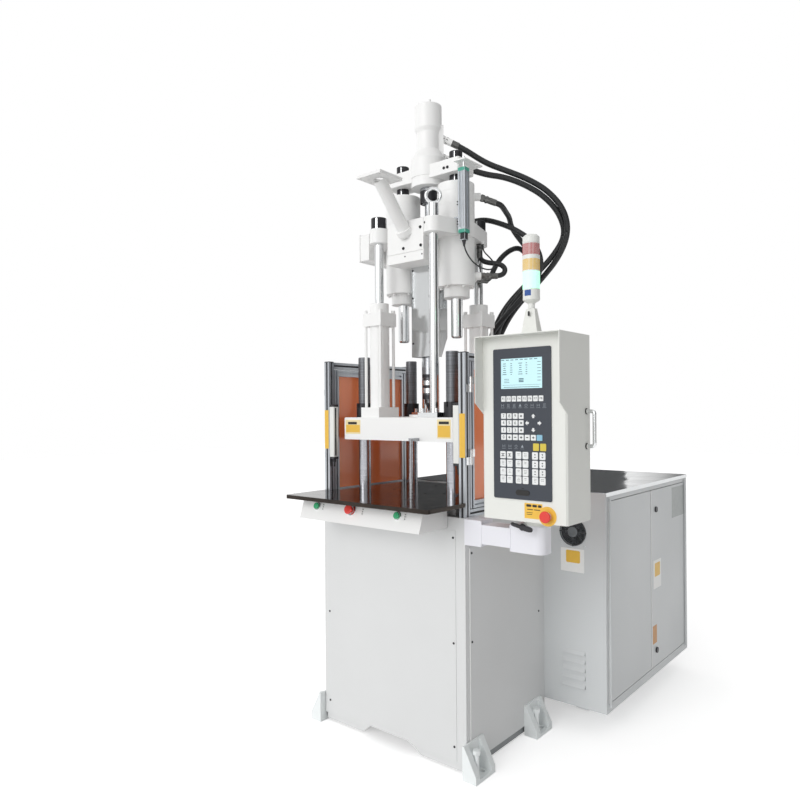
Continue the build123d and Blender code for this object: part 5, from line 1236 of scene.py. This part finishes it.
class MACHINE_OT_panel_prints(bpy.types.Operator):
    """Sets the lit screen, the printed icons, the slot and the fields by the stop button"""

    bl_idname = "machine.panel_prints"
    bl_label = "Panel prints"

    def execute(self, context):
        mark = context.scene.machine_panel.mark
        glass = -0.3655
        shape = bmesh.new()
        add_plate(shape, Vector((0.676, glass - 0.0004, 1.527)), FRONT, 0.1614, 0.1054, 0.0006, 0.001)
        as_piece("screen_glass", shape, "lit_screen", "control_unit")
        draw = random.Random(7)
        shape = bmesh.new()
        lines = [(0.603 + 0.0185 * tab, 1.5745, 0.012, 0.0022) for tab in range(8)]
        for row in range(6):
            for left, reach in ((0.602, 0.016), (0.632, 0.010), (0.664, 0.018), (0.692, 0.010)):
                lines.append((left + reach / 2, 1.562 - 0.0075 * row, reach * draw.uniform(0.5, 1), 0.0022))
        lines += [(0.745, 1.564 - 0.0105 * row, 0.013, 0.0016) for row in range(7)]
        lines += [(0.618, 1.508 - 0.006 * row, 0.030 * draw.uniform(0.6, 1), 0.0016) for row in range(3)]
        lines += [(0.676, 1.508 - 0.005 * row, 0.019, 0.0032) for row in range(3)]
        lines += [(0.676, 1.487, 0.150, 0.0008), (0.676, 1.4795, 0.140, 0.0016)]
        for x, z, width, height in lines:
            place = Vector((x, glass - 0.0006, z))
            add_plate(shape, place, FRONT, width, height, 0.0002, 0.0004, 0.0001)
        as_piece("screen_figures", shape, "screen_ink", "control_unit", smooth=False)

        shape = bmesh.new()
        front = PANEL_FACE - 0.0002
        for x, z in [(0.602 + 0.0233 * icon, 1.415) for icon in range(8)] + [
            (0.606 + 0.0245 * icon, 1.273) for icon in range(4)
        ]:
            kind = round(x * 1000) % 4
            place = Vector((x, front, z))
            add_plate(shape, place - 0.0075 * UP, FRONT, 0.015, 0.8 * mark, 0.0003, 0.0003, 0.0001)
            if kind == 0:
                corners = [(0, 0.006), (-0.005, -0.004), (0.005, -0.004)]
                add_prism(shape, corners, place + 0.001 * UP, FRONT, 0.0003)
            elif kind == 1:
                for lift in (-0.003, 0.001, 0.005):
                    add_plate(shape, place + lift * UP, FRONT, 0.010, mark, 0.0003, 0.0004, 0.0001)
            elif kind == 2:
                for reach in (-0.0045, 0.0045):
                    place_up = place + reach * RIGHT + 0.001 * UP
                    add_plate(shape, place_up, FRONT, mark, 0.010, 0.0003, 0.0004, 0.0001)
                add_plate(shape, place + 0.001 * UP, FRONT, 0.010, mark, 0.0003, 0.0004, 0.0001)
            else:
                centre = place + 0.001 * UP + 0.0001 * BACK
                add_ring(shape, centre, FRONT, ring_section(0.0038, 0.0048, 0, 0.0003, 0.0001), 20)
        as_piece("panel_icons", shape, "mark_pale", "control_unit", smooth=False)

        sticker(
            "panel_slot_inlay", "label_black", "control_unit",
            (((0.680, PANEL_FACE, 1.114), FRONT, 0.0545, 0.0185, 0.009),
             ((0.680, PANEL_FACE, 1.1285), FRONT, 0.008, 0.002, 0.0009)), 0.0014,
        )
        sticker(
            "stop_field", "label_yellow", "control_unit",
            (((0.7185, -0.363, 1.0535), FRONT, 0.069, 0.053, 0.002),),
        )
        shape = bmesh.new()
        add_ring(shape, Vector((0.772, -0.3629, 1.040)), FRONT, ring_section(0.0145, 0.0335, 0, 0.0012), 64)
        as_piece("stop_legend_ring", shape, "label_yellow", "control_unit")
        sticker(
            "stop_field_strips", "label_black", "control_unit",
            (((0.701, -0.3633, 1.0715), FRONT, 0.020, 0.0085, 0.004),
             ((0.7235, -0.3633, 1.0715), FRONT, 0.018, 0.0085, 0.004),
             ((0.7425, -0.3633, 1.0715), FRONT, 0.014, 0.0085, 0.004),
             ((0.706, -0.3633, 1.0585), FRONT, 0.022, 0.0028, 0.001),
             ((0.734, -0.3633, 1.0585), FRONT, 0.026, 0.0028, 0.001),
             ((0.704, -0.3633, 1.0475), FRONT, 0.024, 0.0018, 0.0008),
             ((0.703, -0.3633, 1.0415), FRONT, 0.021, 0.0018, 0.0008)), 0.0003,
        )
        return {"FINISHED"}


class MACHINE_OT_control_box_trim(bpy.types.Operator):
    """Adds the pull handle's chrome and feet, the arm's clamp lever, flange screws and joint lips"""

    bl_idname = "machine.control_box_trim"
    bl_label = "Control box trim"

    def execute(self, context):
        handle = spline_line(
            "handle_line",
            ((0.846, -0.215, 1.273), (0.862, -0.215, 1.273), (0.8745, -0.215, 1.275),
             (0.8745, -0.215, 1.292), (0.8745, -0.215, 1.375), (0.8745, -0.215, 1.392),
             (0.862, -0.215, 1.394), (0.846, -0.215, 1.394)),
        )
        shape = bmesh.new()
        add_tube(shape, handle, 0.0065)
        as_piece("pull_handle_chrome", shape, "hard_chrome", "control_unit")
        shape = bmesh.new()
        for height in (1.273, 1.394):
            foot = Vector((0.845, -0.215, height))
            add_ring(shape, foot, RIGHT, ring_section(0.006, 0.0105, 0, 0.004), 32)
        as_piece("pull_handle_feet", shape, "black_oxide_steel", "control_unit")

        shape = bmesh.new()
        lever = spline_line(
            "lever_line",
            ((0.648, -0.3145, 0.985), (0.630, -0.330, 0.992), (0.622, -0.345, 0.999),
             (0.640, -0.358, 0.998), (0.682, -0.360, 0.991)),
        )
        add_tube(shape, lever, 0.0065)
        add_turned(
            shape, Vector((0.668, -0.3600, 0.9935)), Vector((0.985, 0, -0.17)).normalized(),
            ((0.006, 0), (0.009, 0.004), (0.0098, 0.016), (0.0095, 0.034), (0.007, 0.042),
             (0.003, 0.045)), 28,
        )
        hub = Vector((0.648, -0.312, 0.985))
        add_turned(shape, hub, FRONT, ((0.012, 0), (0.012, 0.007), (0.009, 0.009)))
        as_piece("arm_clamp_lever", shape, "black_plastic", "frame")
        places = [(0.397, y, z) for y in (-0.277, -0.223) for z in (0.901, 0.980)]
        repeated(
            "arm_flange_screws", socket_screw(), places, RIGHT, (0.011, 0.011, 0.006),
            "black_oxide_steel", "frame",
        )
        shape = bmesh.new()
        for x in (0.4725, 0.596):
            add_plate(shape, Vector((x, -0.3136, 0.9405)), FRONT, 0.003, 0.094, 0.002, 0.001)
        as_piece("arm_joint_lips", shape, "arm_white", "frame")
        return {"FINISHED"}


PIPE_RADIUS = 0.0134
NUT_RADIUS = 0.0160
# the crimped sleeve's ridges: their distance, and how far they and the grooves stand over the hose
RIDGE_PITCH = 0.0055
RIDGE_RISE, GROOVE_RISE = 0.0021, 0.0014


class MACHINE_OT_hose_fittings(bpy.types.Operator):
    """Adds the crimped sleeves and nuts at the hoses' ends"""

    bl_idname = "machine.hose_fittings"
    bl_label = "Hose fittings"

    def execute(self, context):
        sizes = context.scene.machine_hoses
        groups = {"injection_head": bmesh.new(), "injection_unit": bmesh.new()}
        for route, radius, body, reach in (
            (MOTOR_FEED_ROUTE, sizes.motor_radius, "injection_head", 0.054),
            (MOTOR_RETURN_ROUTE, sizes.motor_radius, "injection_head", 0.054),
            (CYLINDER_TOP_ROUTE, sizes.cylinder_radius, "injection_unit", 0.040),
            (SEAT_ROUTE, sizes.cylinder_radius, "injection_unit", 0.040),
            (CYLINDER_BOTTOM_ROUTE, sizes.cylinder_radius, "injection_unit", 0.040),
            (LINK_ROUTE, sizes.link_radius, "injection_unit", 0.040),
            (list(reversed(LINK_ROUTE)), sizes.link_radius, "injection_unit", 0.040),
        ):
            heading = (Vector(route[1]) - Vector(route[0])).normalized()
            shape = groups[body]
            profile = [(radius, -0.002)]
            for ridge in range(6):
                start = RIDGE_PITCH * ridge
                profile += [(radius + RIDGE_RISE, start), (radius + RIDGE_RISE, start + 0.0035)]
                profile += [(radius + GROOVE_RISE, start + 0.004), (radius + GROOVE_RISE, start + 0.005)]
            profile.append((radius + 0.0002, 0.034))
            add_turned(shape, Vector(route[0]), heading, profile, 28)
            pipe = ((0.0128, -0.001), (PIPE_RADIUS, 0.0), (PIPE_RADIUS, reach))
            add_turned(shape, Vector(route[0]), -heading, pipe, 28)
            for near, far in ((reach - 0.017, reach - 0.002), (reach - 0.034, reach - 0.024)):
                nut = (
                    (PIPE_RADIUS, near), (NUT_RADIUS, near + 0.0006),
                    (NUT_RADIUS, far - 0.0006), (PIPE_RADIUS, far),
                )
                add_turned(shape, Vector(route[0]), -heading, nut, 6)
        for body, shape in groups.items():
            as_piece(f"hose_fittings_{body}", shape, "crimped_fitting_steel", body)
        return {"FINISHED"}


SENSOR_X, SENSOR_Y = 0.244, -0.078


class MACHINE_OT_head_fittings(bpy.types.Operator):
    """Adds the round nuts, screws, sensor ends and rod trim of the injection unit"""

    bl_idname = "machine.head_fittings"
    bl_label = "Head fittings"

    def execute(self, context):
        shape = bmesh.new()
        for x in (-0.150, 0.150):
            add_slotted_nut(shape, Vector((x, 0, 2.4811)), 0.020, 0.0287, 0.0452)
            add_slotted_nut(shape, Vector((x, 0, 2.3859)), 0.020, 0.0287, 0.0371)
        add_ring(shape, Vector((0, 0, 2.330)), UP, ring_section(0.030, 0.0386, 0, 0.054, 0.001))
        as_piece("rod_end_nuts", shape, "black_oxide_steel", "injection_head")
        shape = bmesh.new()
        for x, y in ((-0.152, -0.168), (0.152, 0.168)):
            add_slotted_nut(shape, Vector((x, y, 2.2051)), 0.012, 0.0346, 0.0503, 0.010)
        as_piece("carriage_rod_nuts", shape, "black_oxide_steel", "injection_unit")

        socket = context.scene.machine_screws.socket
        screw = socket_screw()
        repeated(
            "seat_screws", screw,
            [(-0.009, -0.170, 2.101), (0.084, -0.170, 2.178), (0.086, -0.170, 2.101)],
            FRONT, (socket, socket, 0.005), "black_oxide_steel", "injection_unit",
        )
        repeated(
            "seat_small_screws", screw, [(-0.001, -0.170, 2.065), (0.092, -0.170, 2.063)],
            FRONT, (0.006, 0.006, 0.002), "black_oxide_steel", "injection_unit",
        )
        away = Vector((-0.44, -0.90, 0)).normalized()
        repeated(
            "boss_screw", screw, [Vector((0.152, -0.168, 2.181)) + away * 0.0408],
            away, (0.010, 0.010, 0.002), "black_oxide_steel", "injection_unit",
        )
        repeated(
            "crosshead_screws", screw, [(0.129, -0.060, 2.446), (0.148, -0.060, 2.446)],
            FRONT, (socket, socket, 0.004), "black_oxide_steel", "injection_head",
        )
        repeated(
            "barrel_guard_screws", screw,
            [(x, -0.060, z) for x in (-0.047, 0.047) for z in (1.903, 2.026)]
            + [(x, -0.060, 1.700) for x in (-0.047, 0.047)],
            FRONT, (0.009, 0.009, 0.003), "black_oxide_steel", "injection_unit",
        )

        ends, groove_shade, rod = (bmesh.new() for _ in range(3))
        for height in (2.4143, 2.1563):
            top = Vector((SENSOR_X, SENSOR_Y, height))
            add_plate(ends, top, UP, 0.0358, 0.0358, 0.0146, 0.003, 0.0006, upright=BACK)
        as_piece("sensor_end_caps", ends, "teal_plastic", "injection_unit")
        # the body's grooves are thin flat dark strips: painted shade standing for the dark inside each
        # groove
        for place, facing in (
            ((0.2355, -0.0956, 2.285), FRONT), ((0.2525, -0.0956, 2.285), FRONT),
            ((0.2616, -0.0865, 2.285), RIGHT), ((0.2616, -0.0695, 2.285), RIGHT),
        ):
            add_plate(groove_shade, Vector(place), facing, 0.0022, 0.240, 0.0006, 0.0005, 0.0001)
        as_piece(
            "sensor_body_grooves", groove_shade, "mark_dark", "injection_unit", smooth=False
        )
        plug = bmesh.new()
        top = Vector((SENSOR_X, SENSOR_Y, 2.1419))
        add_plate(plug, top, UP, 0.0252, 0.0252, 0.0266, 0.004, 0.0008, upright=BACK)
        add_turned(
            plug, Vector((SENSOR_X, SENSOR_Y, 2.1153)), DOWN,
            ((0.009, 0), (0.0095, 0.003), (0.007, 0.012), (0.0045, 0.026), (0.0035, 0.0275)), 24,
        )
        as_piece("sensor_plug", plug, "black_plastic", "injection_unit")
        repeated(
            "sensor_clamp_screws", screw,
            [(0.2245, -0.0958, z) for z in (2.178, 2.190, 2.261, 2.273)],
            FRONT, (0.006, 0.006, 0.003), "black_oxide_steel", "injection_unit",
        )
        add_turned(
            rod, Vector((SENSOR_X, SENSOR_Y, 2.415)), UP,
            ((0.0034, 0), (0.0034, 0.029), (0.006, 0.0295), (0.006, 0.0335), (0.0034, 0.034),
             (0.0034, 0.0425), (0.0058, 0.043), (0.0058, 0.048), (0.003, 0.0495)), 24,
        )
        as_piece("sensor_rod", rod, "hard_chrome", "injection_head")
        return {"FINISHED"}


class MACHINE_OT_nozzle_bands(bpy.types.Operator):
    """Adds the heater bands round the barrel's end and the nozzle"""

    bl_idname = "machine.nozzle_bands"
    bl_label = "Nozzle bands"

    def execute(self, context):
        bright, dark = bmesh.new(), bmesh.new()
        axis = Vector((0, 0, 0))
        radius = 0.0345
        for low, high in ((1.514, 1.534), (1.478, 1.500)):
            add_ring(bright, axis, UP, ring_section(0.020, radius, low, high))
            for turn in (-100, -60, -20, 20):
                spoke = Vector((math.cos(math.radians(turn)), math.sin(math.radians(turn)), 0))
                clamp = spoke * (radius + 0.003) + UP * (low + high) / 2
                add_plate(bright, clamp, spoke, 0.008, 0.014, 0.004, 0.001)
        for low, high, outer in (
            (1.548, 1.5615, 0.0352), (1.503, 1.511, 0.0340), (1.452, 1.470, 0.0338)
        ):
            add_ring(dark, axis, UP, ring_section(0.020, outer, low, high))
        as_piece("heater_bands", bright, "hard_chrome", "injection_unit")
        as_piece("heater_band_joints", dark, "black_oxide_steel", "injection_unit")
        return {"FINISHED"}


TIE_BARS = [(x, y) for x in (-0.245, 0.245) for y in (-0.170, 0.170)]


class MACHINE_OT_tie_bar_threads(bpy.types.Operator):
    """Adds the threads round the tie bars above the platen's nuts"""

    bl_idname = "machine.tie_bar_threads"
    bl_label = "Tie bar threads"

    def execute(self, context):
        pitch = context.scene.machine_screws.thread_pitch
        low, high = 1.4365, 1.6385

        def build(shape):
            add_ring(shape, Vector((0, 0, 0)), UP, ((0.95, 0.05), (1, 0.38), (1, 0.55), (0.95, 0.9)), 36)

        count = int((high - low) / pitch)
        places = [(x, y, low + pitch * turn) for x, y in TIE_BARS for turn in range(count)]
        repeated(
            "tie_bar_threads", small_part("thread_ridge", build), places, UP, (0.0269, 0.0269, pitch),
            "tie_bar_thread", "clamp", upright=BACK,
        )
        shape = bmesh.new()
        core = ((0.0262, 1.4352), (0.0262, 1.6405), (0.0245, 1.6418), (0.004, 1.6414))
        for x, y in TIE_BARS:
            add_turned(shape, Vector((x, y, 0)), UP, core, 48)
        as_piece("tie_bar_thread_cores", shape, "tie_bar_thread", "clamp")
        return {"FINISHED"}


class MACHINE_OT_base_fittings(bpy.types.Operator):
    """Adds the base's cover screws, its rail faces, button bezels and small fields"""

    bl_idname = "machine.base_fittings"
    bl_label = "Base fittings"

    def execute(self, context):
        size = context.scene.machine_screws.cover
        screw = socket_screw()
        front = [(x, -0.292, z) for x in (-0.353, 0.330) for z in (0.100, 0.500, 0.908)]
        right = [(0.387, y, z) for y in (-0.250, 0.276) for z in (0.103, 0.506, 0.849)]
        left = [(-x, y, z) for x, y, z in right]
        for name, places, facing in (
            ("front_cover_screws", front, FRONT),
            ("right_cover_screws", right, RIGHT),
            ("left_cover_screws", left, LEFT),
        ):
            repeated(
                name, screw, places, facing, (size, size, 0.003), "black_oxide_steel", "frame"
            )
        shape = bmesh.new()
        for facing, x in ((RIGHT, 0.3797), (LEFT, -0.3797)):
            add_plate(shape, Vector((x, 0.020, 0.025)), facing, 0.600, 0.0296, 0.001, 0.001)
        add_plate(shape, Vector((0, 0.3247, 0.025)), BACK, 0.740, 0.0296, 0.001, 0.001)
        as_piece("base_rail_faces", shape, "rail_grey", "frame")
        # a raised strip along each side cover's front edge in the brighter machine white: the edge catches
        # some light, and the brighter paint adds a painted highlight
        shape = bmesh.new()
        for facing, x in ((RIGHT, 0.3890), (LEFT, -0.3890)):
            add_plate(shape, Vector((x, -0.2635, 0.455)), facing, 0.003, 0.829, 0.0022, 0.001)
        as_piece("side_cover_hems", shape, "powder_coat_white", "frame")

        # the button box's front leans back by 30 mm over its 86 mm
        lean = math.atan2(0.030, 0.086)
        out = Vector((0, -math.cos(lean), math.sin(lean)))
        centre = Vector((0, -0.470 + 0.055 * math.tan(lean), 0.998))
        shape = bmesh.new()
        for x, inner, outer in (
            (-0.257, 0.0140, 0.0174), (0.186, 0.0140, 0.0174), (-0.057, 0.0145, 0.0224)
        ):
            add_ring(shape, centre + RIGHT * x, out, ring_section(inner, outer, -0.001, 0.0046, 0.001), 48)
        as_piece("button_bezels", shape, "hard_chrome", "frame")
        fields = (-0.224, 0.002, 0.222)
        sticker(
            "button_fields", "label_white", "frame",
            [(centre + RIGHT * x, out, 0.014, 0.030, 0.002) for x in fields], 0.0004,
        )
        sticker(
            "button_field_marks", "mark_dark", "frame",
            [(centre + RIGHT * x + out * 0.0004 + out.cross(RIGHT) * lift, out, 0.005, 0.004, 0.001)
             for x in fields for lift in (-0.009, 0.0, 0.009)],
        )
        sticker(
            "platen_pale_fields", "label_pale", "clamp",
            (((-0.2465, -0.245, 1.330), FRONT, 0.091, 0.062, 0.002),
             ((0.2555, -0.245, 1.326), FRONT, 0.068, 0.076, 0.002)),
        )
        sticker(
            "platen_yellow_fields", "label_yellow", "clamp",
            (((-0.2465, -0.2453, 1.3225), FRONT, 0.084, 0.033, 0.001),
             ((0.2555, -0.2453, 1.3165), FRONT, 0.060, 0.046, 0.001)),
        )
        sticker(
            "platen_black_strips", "label_black", "clamp",
            (((-0.2495, -0.2453, 1.3465), FRONT, 0.054, 0.011, 0.001),
             ((0.2555, -0.2453, 1.3505), FRONT, 0.050, 0.011, 0.001)),
        )
        return {"FINISHED"}


DOOR_FACE = 0.678
FAN_CENTRE = Vector((0.528, 0.326, 0.865))


class MACHINE_OT_cabinet_fittings(bpy.types.Operator):
    """Adds the cabinet's seam lips, plain plate and fields, and the fan's wire rings"""

    bl_idname = "machine.cabinet_fittings"
    bl_label = "Cabinet fittings"

    def execute(self, context):
        for name, y, body in (
            ("rear_door_lip", 0.8612, "rear_cabinet_leaf"),
            ("front_door_lip", 0.3570, "front_cabinet_leaf"),
        ):
            shape = bmesh.new()
            add_plate(shape, Vector((0.6800, y, 0.5745)), RIGHT, 0.0032, 0.860, 0.003, 0.001)
            as_piece(name, shape, "powder_coat_white", body)
        sticker(
            "bare_plate", "plate_grey", "rear_cabinet_leaf",
            (((DOOR_FACE, 1.255, 0.914), RIGHT, 0.186, 0.156, 0.002),), 0.0006,
        )
        sticker(
            "door_field", "label_white", "rear_cabinet_leaf",
            (((DOOR_FACE, 0.944, 0.590), RIGHT, 0.104, 0.138, 0.003),),
        )
        sticker(
            "door_yellow_field", "label_yellow", "rear_cabinet_leaf",
            (((DOOR_FACE + 0.0003, 0.944, 0.612), RIGHT, 0.072, 0.066, 0.006),),
        )
        sticker(
            "door_low_field", "label_orange", "rear_cabinet_leaf",
            (((DOOR_FACE, 0.905, 0.300), RIGHT, 0.055, 0.088, 0.003),),
        )
        sticker(
            "cabinet_field", "label_white", "frame",
            (((0.525, 0.330, 0.741), FRONT, 0.110, 0.102, 0.003),),
        )
        sticker(
            "cabinet_yellow_field", "label_yellow", "frame",
            (((0.528, 0.3297, 0.757), FRONT, 0.066, 0.054, 0.006),),
        )
        shape = bmesh.new()
        wire = 0.0009
        for reach in (0.028, 0.034, 0.040, 0.046, 0.052, 0.058):
            section = [
                (reach + wire * math.cos(side * math.pi / 3), wire * math.sin(side * math.pi / 3))
                for side in range(6)
            ]
            add_ring(shape, FAN_CENTRE, FRONT, section, 64)
        as_piece("fan_wire_rings", shape, "grille_grey", "frame")
        shape = bmesh.new()
        add_turned(
            shape, FAN_CENTRE, FRONT,
            ((0.022, -0.002), (0.0235, 0.0006), (0.020, 0.0016), (0.008, 0.0022), (0.001, 0.0023)),
        )
        as_piece("fan_hub_cap", shape, "grille_grey", "frame")
        places = [
            (FAN_CENTRE.x + x, 0.330, FAN_CENTRE.z + z) for x in (-0.056, 0.056) for z in (-0.058, 0.058)
        ]
        repeated(
            "fan_screws", socket_screw(), places, FRONT, (0.007, 0.007, 0.004), "hard_chrome", "frame",
        )
        return {"FINISHED"}


SUN_HEADING = Vector((0.08, 0.94, -0.32))
CAMERA_PLACE = (1.867, -2.44, 1.40)
CAMERA_TURN = math.radians(39.96)
CAMERA_ROLL = math.radians(-0.4)


class MACHINE_OT_stage(bpy.types.Operator):
    """Sets up the floor, the studio light and the camera"""

    bl_idname = "machine.stage"
    bl_label = "Stage"

    def execute(self, context):
        settings = context.scene.machine_stage
        shape = bmesh.new()
        bmesh.ops.create_grid(shape, x_segments=4, y_segments=4, size=20)
        mesh = mesh_from(shape, "studio_floor")
        floor = bpy.data.objects.new("studio_floor", mesh)
        context.scene.collection.objects.link(floor)
        material, tree = empty_material("studio_floor_paper")
        # the paper is lit from behind for what is seen directly, so that its far side fades to white
        matt = add_node(tree, "ShaderNodeBsdfDiffuse", (), {"Color": settings.floor})
        glow = add_node(
            tree, "ShaderNodeEmission", (), {"Color": (1, 1, 1, 1), "Strength": seen_share(tree, 0.0, 0.47)}
        )
        both = add_node(tree, "ShaderNodeAddShader", (), {0: matt.outputs[0], 1: glow.outputs[0]})
        add_node(tree, "ShaderNodeOutputMaterial", (), {"Surface": both.outputs[0]})
        mesh.materials.append(material)

        world = bpy.data.worlds.new("studio")
        context.scene.world = world
        world.use_nodes = True
        tree = world.node_tree
        tree.nodes.clear()
        heading = add_node(tree, "ShaderNodeTexCoord").outputs["Generated"]
        side = add_node(
            tree, "ShaderNodeVectorMath", {"operation": "DOT_PRODUCT"}, {0: heading, 1: (-0.72, -0.6, 0.35)}
        )
        soft = add_node(
            tree, "ShaderNodeMapRange", (),
            {"Value": side.outputs["Value"], "From Min": -1.0, "From Max": 1.0,
             "To Min": 0.45 * settings.sky, "To Max": 1.5 * settings.sky},
        )
        # dark curtains between the soft boxes, which polished rods show as bands
        level = add_node(
            tree, "ShaderNodeVectorMath", {"operation": "MULTIPLY"}, {0: heading, 1: (1.0, 1.0, 0.12)}
        )
        curtains = add_node(
            tree, "ShaderNodeTexNoise", (), {"Vector": level.outputs[0], "Scale": 2.3, "Detail": 1.0}
        )
        band = add_node(
            tree, "ShaderNodeMapRange", (),
            {"Value": curtains.outputs["Fac"], "From Min": 0.4, "From Max": 0.5,
             "To Min": 0.1, "To Max": 1.0},
        )
        path = add_node(tree, "ShaderNodeLightPath")
        shiny = add_node(
            tree, "ShaderNodeMix", {"data_type": "FLOAT"},
            {0: path.outputs["Is Glossy Ray"], 2: 1.0, 3: band.outputs["Result"]},
        )
        strength = add_node(
            tree, "ShaderNodeMix", {"data_type": "FLOAT"},
            {0: seen_share(tree, 0.0, 1.0), 2: soft.outputs["Result"], 3: shiny.outputs[0]},
        )
        sky = add_node(
            tree, "ShaderNodeBackground", (), {"Color": (1, 1, 1, 1), "Strength": strength.outputs[0]}
        )
        add_node(tree, "ShaderNodeOutputWorld", (), {"Surface": sky.outputs[0]})

        lamp = bpy.data.lights.new("key", "SUN")
        lamp.energy = settings.sun
        lamp.angle = 0.7
        light = bpy.data.objects.new("key", lamp)
        light.rotation_euler = SUN_HEADING.to_track_quat("-Z", "Y").to_euler()
        context.scene.collection.objects.link(light)

        # grey cards behind the machine, seen only in what polished sheet and steel reflect
        material, tree = empty_material("studio_card_grey")
        cloth = add_node(tree, "ShaderNodeBsdfDiffuse", (), {"Color": linear("58595A")})
        add_node(tree, "ShaderNodeOutputMaterial", (), {"Surface": cloth.outputs[0]})
        for name, centre, facing, width, height in (
            ("cabinet_card", (-2.05, 6.2, 1.5), (0.4, -0.92, 0), 0.9, 3.2),
            ("table_card", (-2.35, 3.1, 1.45), (0.62, -0.78, 0), 1.3, 1.5),
            ("rod_card", (2.9, 1.5, 1.7), (-0.89, -0.46, 0), 1.1, 3.4),
        ):
            shape = bmesh.new()
            add_plate(shape, Vector(centre), Vector(facing).normalized(), width, height, 0.02, 0.01)
            mesh = mesh_from(shape, name)
            mesh.materials.append(material)
            card = bpy.data.objects.new(name, mesh)
            context.scene.collection.objects.link(card)
            card.visible_camera = False
            card.visible_diffuse = False
            card.visible_shadow = False

        data = bpy.data.cameras.new("camera")
        data.lens = settings.lens
        data.sensor_width = 36
        data.shift_y = 0.0135
        data.clip_start = 0.05
        data.clip_end = 100
        camera = bpy.data.objects.new("camera", data)
        camera.location = CAMERA_PLACE
        upright = Matrix.Rotation(CAMERA_TURN, 4, "Z") @ Matrix.Rotation(math.pi / 2, 4, "X")
        camera.rotation_euler = (upright @ Matrix.Rotation(CAMERA_ROLL, 4, "Z")).to_euler()
        context.scene.collection.objects.link(camera)
        context.scene.camera = camera
        context.scene.view_settings.view_transform = "Standard"
        return {"FINISHED"}


class MACHINE_PT_sidebar(bpy.types.Panel):
    """Shows the machine's settings and building steps in the sidebar"""

    bl_idname = "MACHINE_PT_sidebar"
    bl_label = "Moulding machine"
    bl_space_type = "VIEW_3D"
    bl_region_type = "UI"
    bl_category = "Moulding machine"

    def draw(self, context):
        for name in SETTINGS:
            box = self.layout.box()
            group = getattr(context.scene, name)
            for key in group.__annotations__:
                box.prop(group, key)
        for operator in OPERATORS:
            self.layout.operator(operator.bl_idname)


SETTINGS = {
    "machine_paint": PaintSettings,
    "machine_hoses": HoseSettings,
    "machine_panel": PanelSettings,
    "machine_lamp": LampSettings,
    "machine_screws": ScrewSettings,
    "machine_stage": StageSettings,
}
OPERATORS = (
    MACHINE_OT_finishes,
    MACHINE_OT_stage,
    MACHINE_OT_motor_hoses,
    MACHINE_OT_cylinder_hoses,
    MACHINE_OT_link_hose,
    MACHINE_OT_hose_fittings,
    MACHINE_OT_head_fittings,
    MACHINE_OT_nozzle_bands,
    MACHINE_OT_tie_bar_threads,
    MACHINE_OT_lamp_lenses,
    MACHINE_OT_panel_keys,
    MACHINE_OT_panel_prints,
    MACHINE_OT_control_box_trim,
    MACHINE_OT_guard_fittings,
    MACHINE_OT_base_fittings,
    MACHINE_OT_cabinet_fittings,
)


def register():
    for name, group in SETTINGS.items():
        bpy.utils.register_class(group)
        setattr(bpy.types.Scene, name, PointerProperty(type=group))
    for operator in OPERATORS:
        bpy.utils.register_class(operator)
    bpy.utils.register_class(MACHINE_PT_sidebar)


def unregister():
    bpy.utils.unregister_class(MACHINE_PT_sidebar)
    for operator in reversed(OPERATORS):
        bpy.utils.unregister_class(operator)
    for name, group in reversed(SETTINGS.items()):
        delattr(bpy.types.Scene, name)
        bpy.utils.unregister_class(group)


def main():
    """Builds every piece in order."""
    register()
    for operator in OPERATORS:
        area, name = operator.bl_idname.split(".")
        getattr(getattr(bpy.ops, area), name)()


if __name__ == "__main__":
    main()
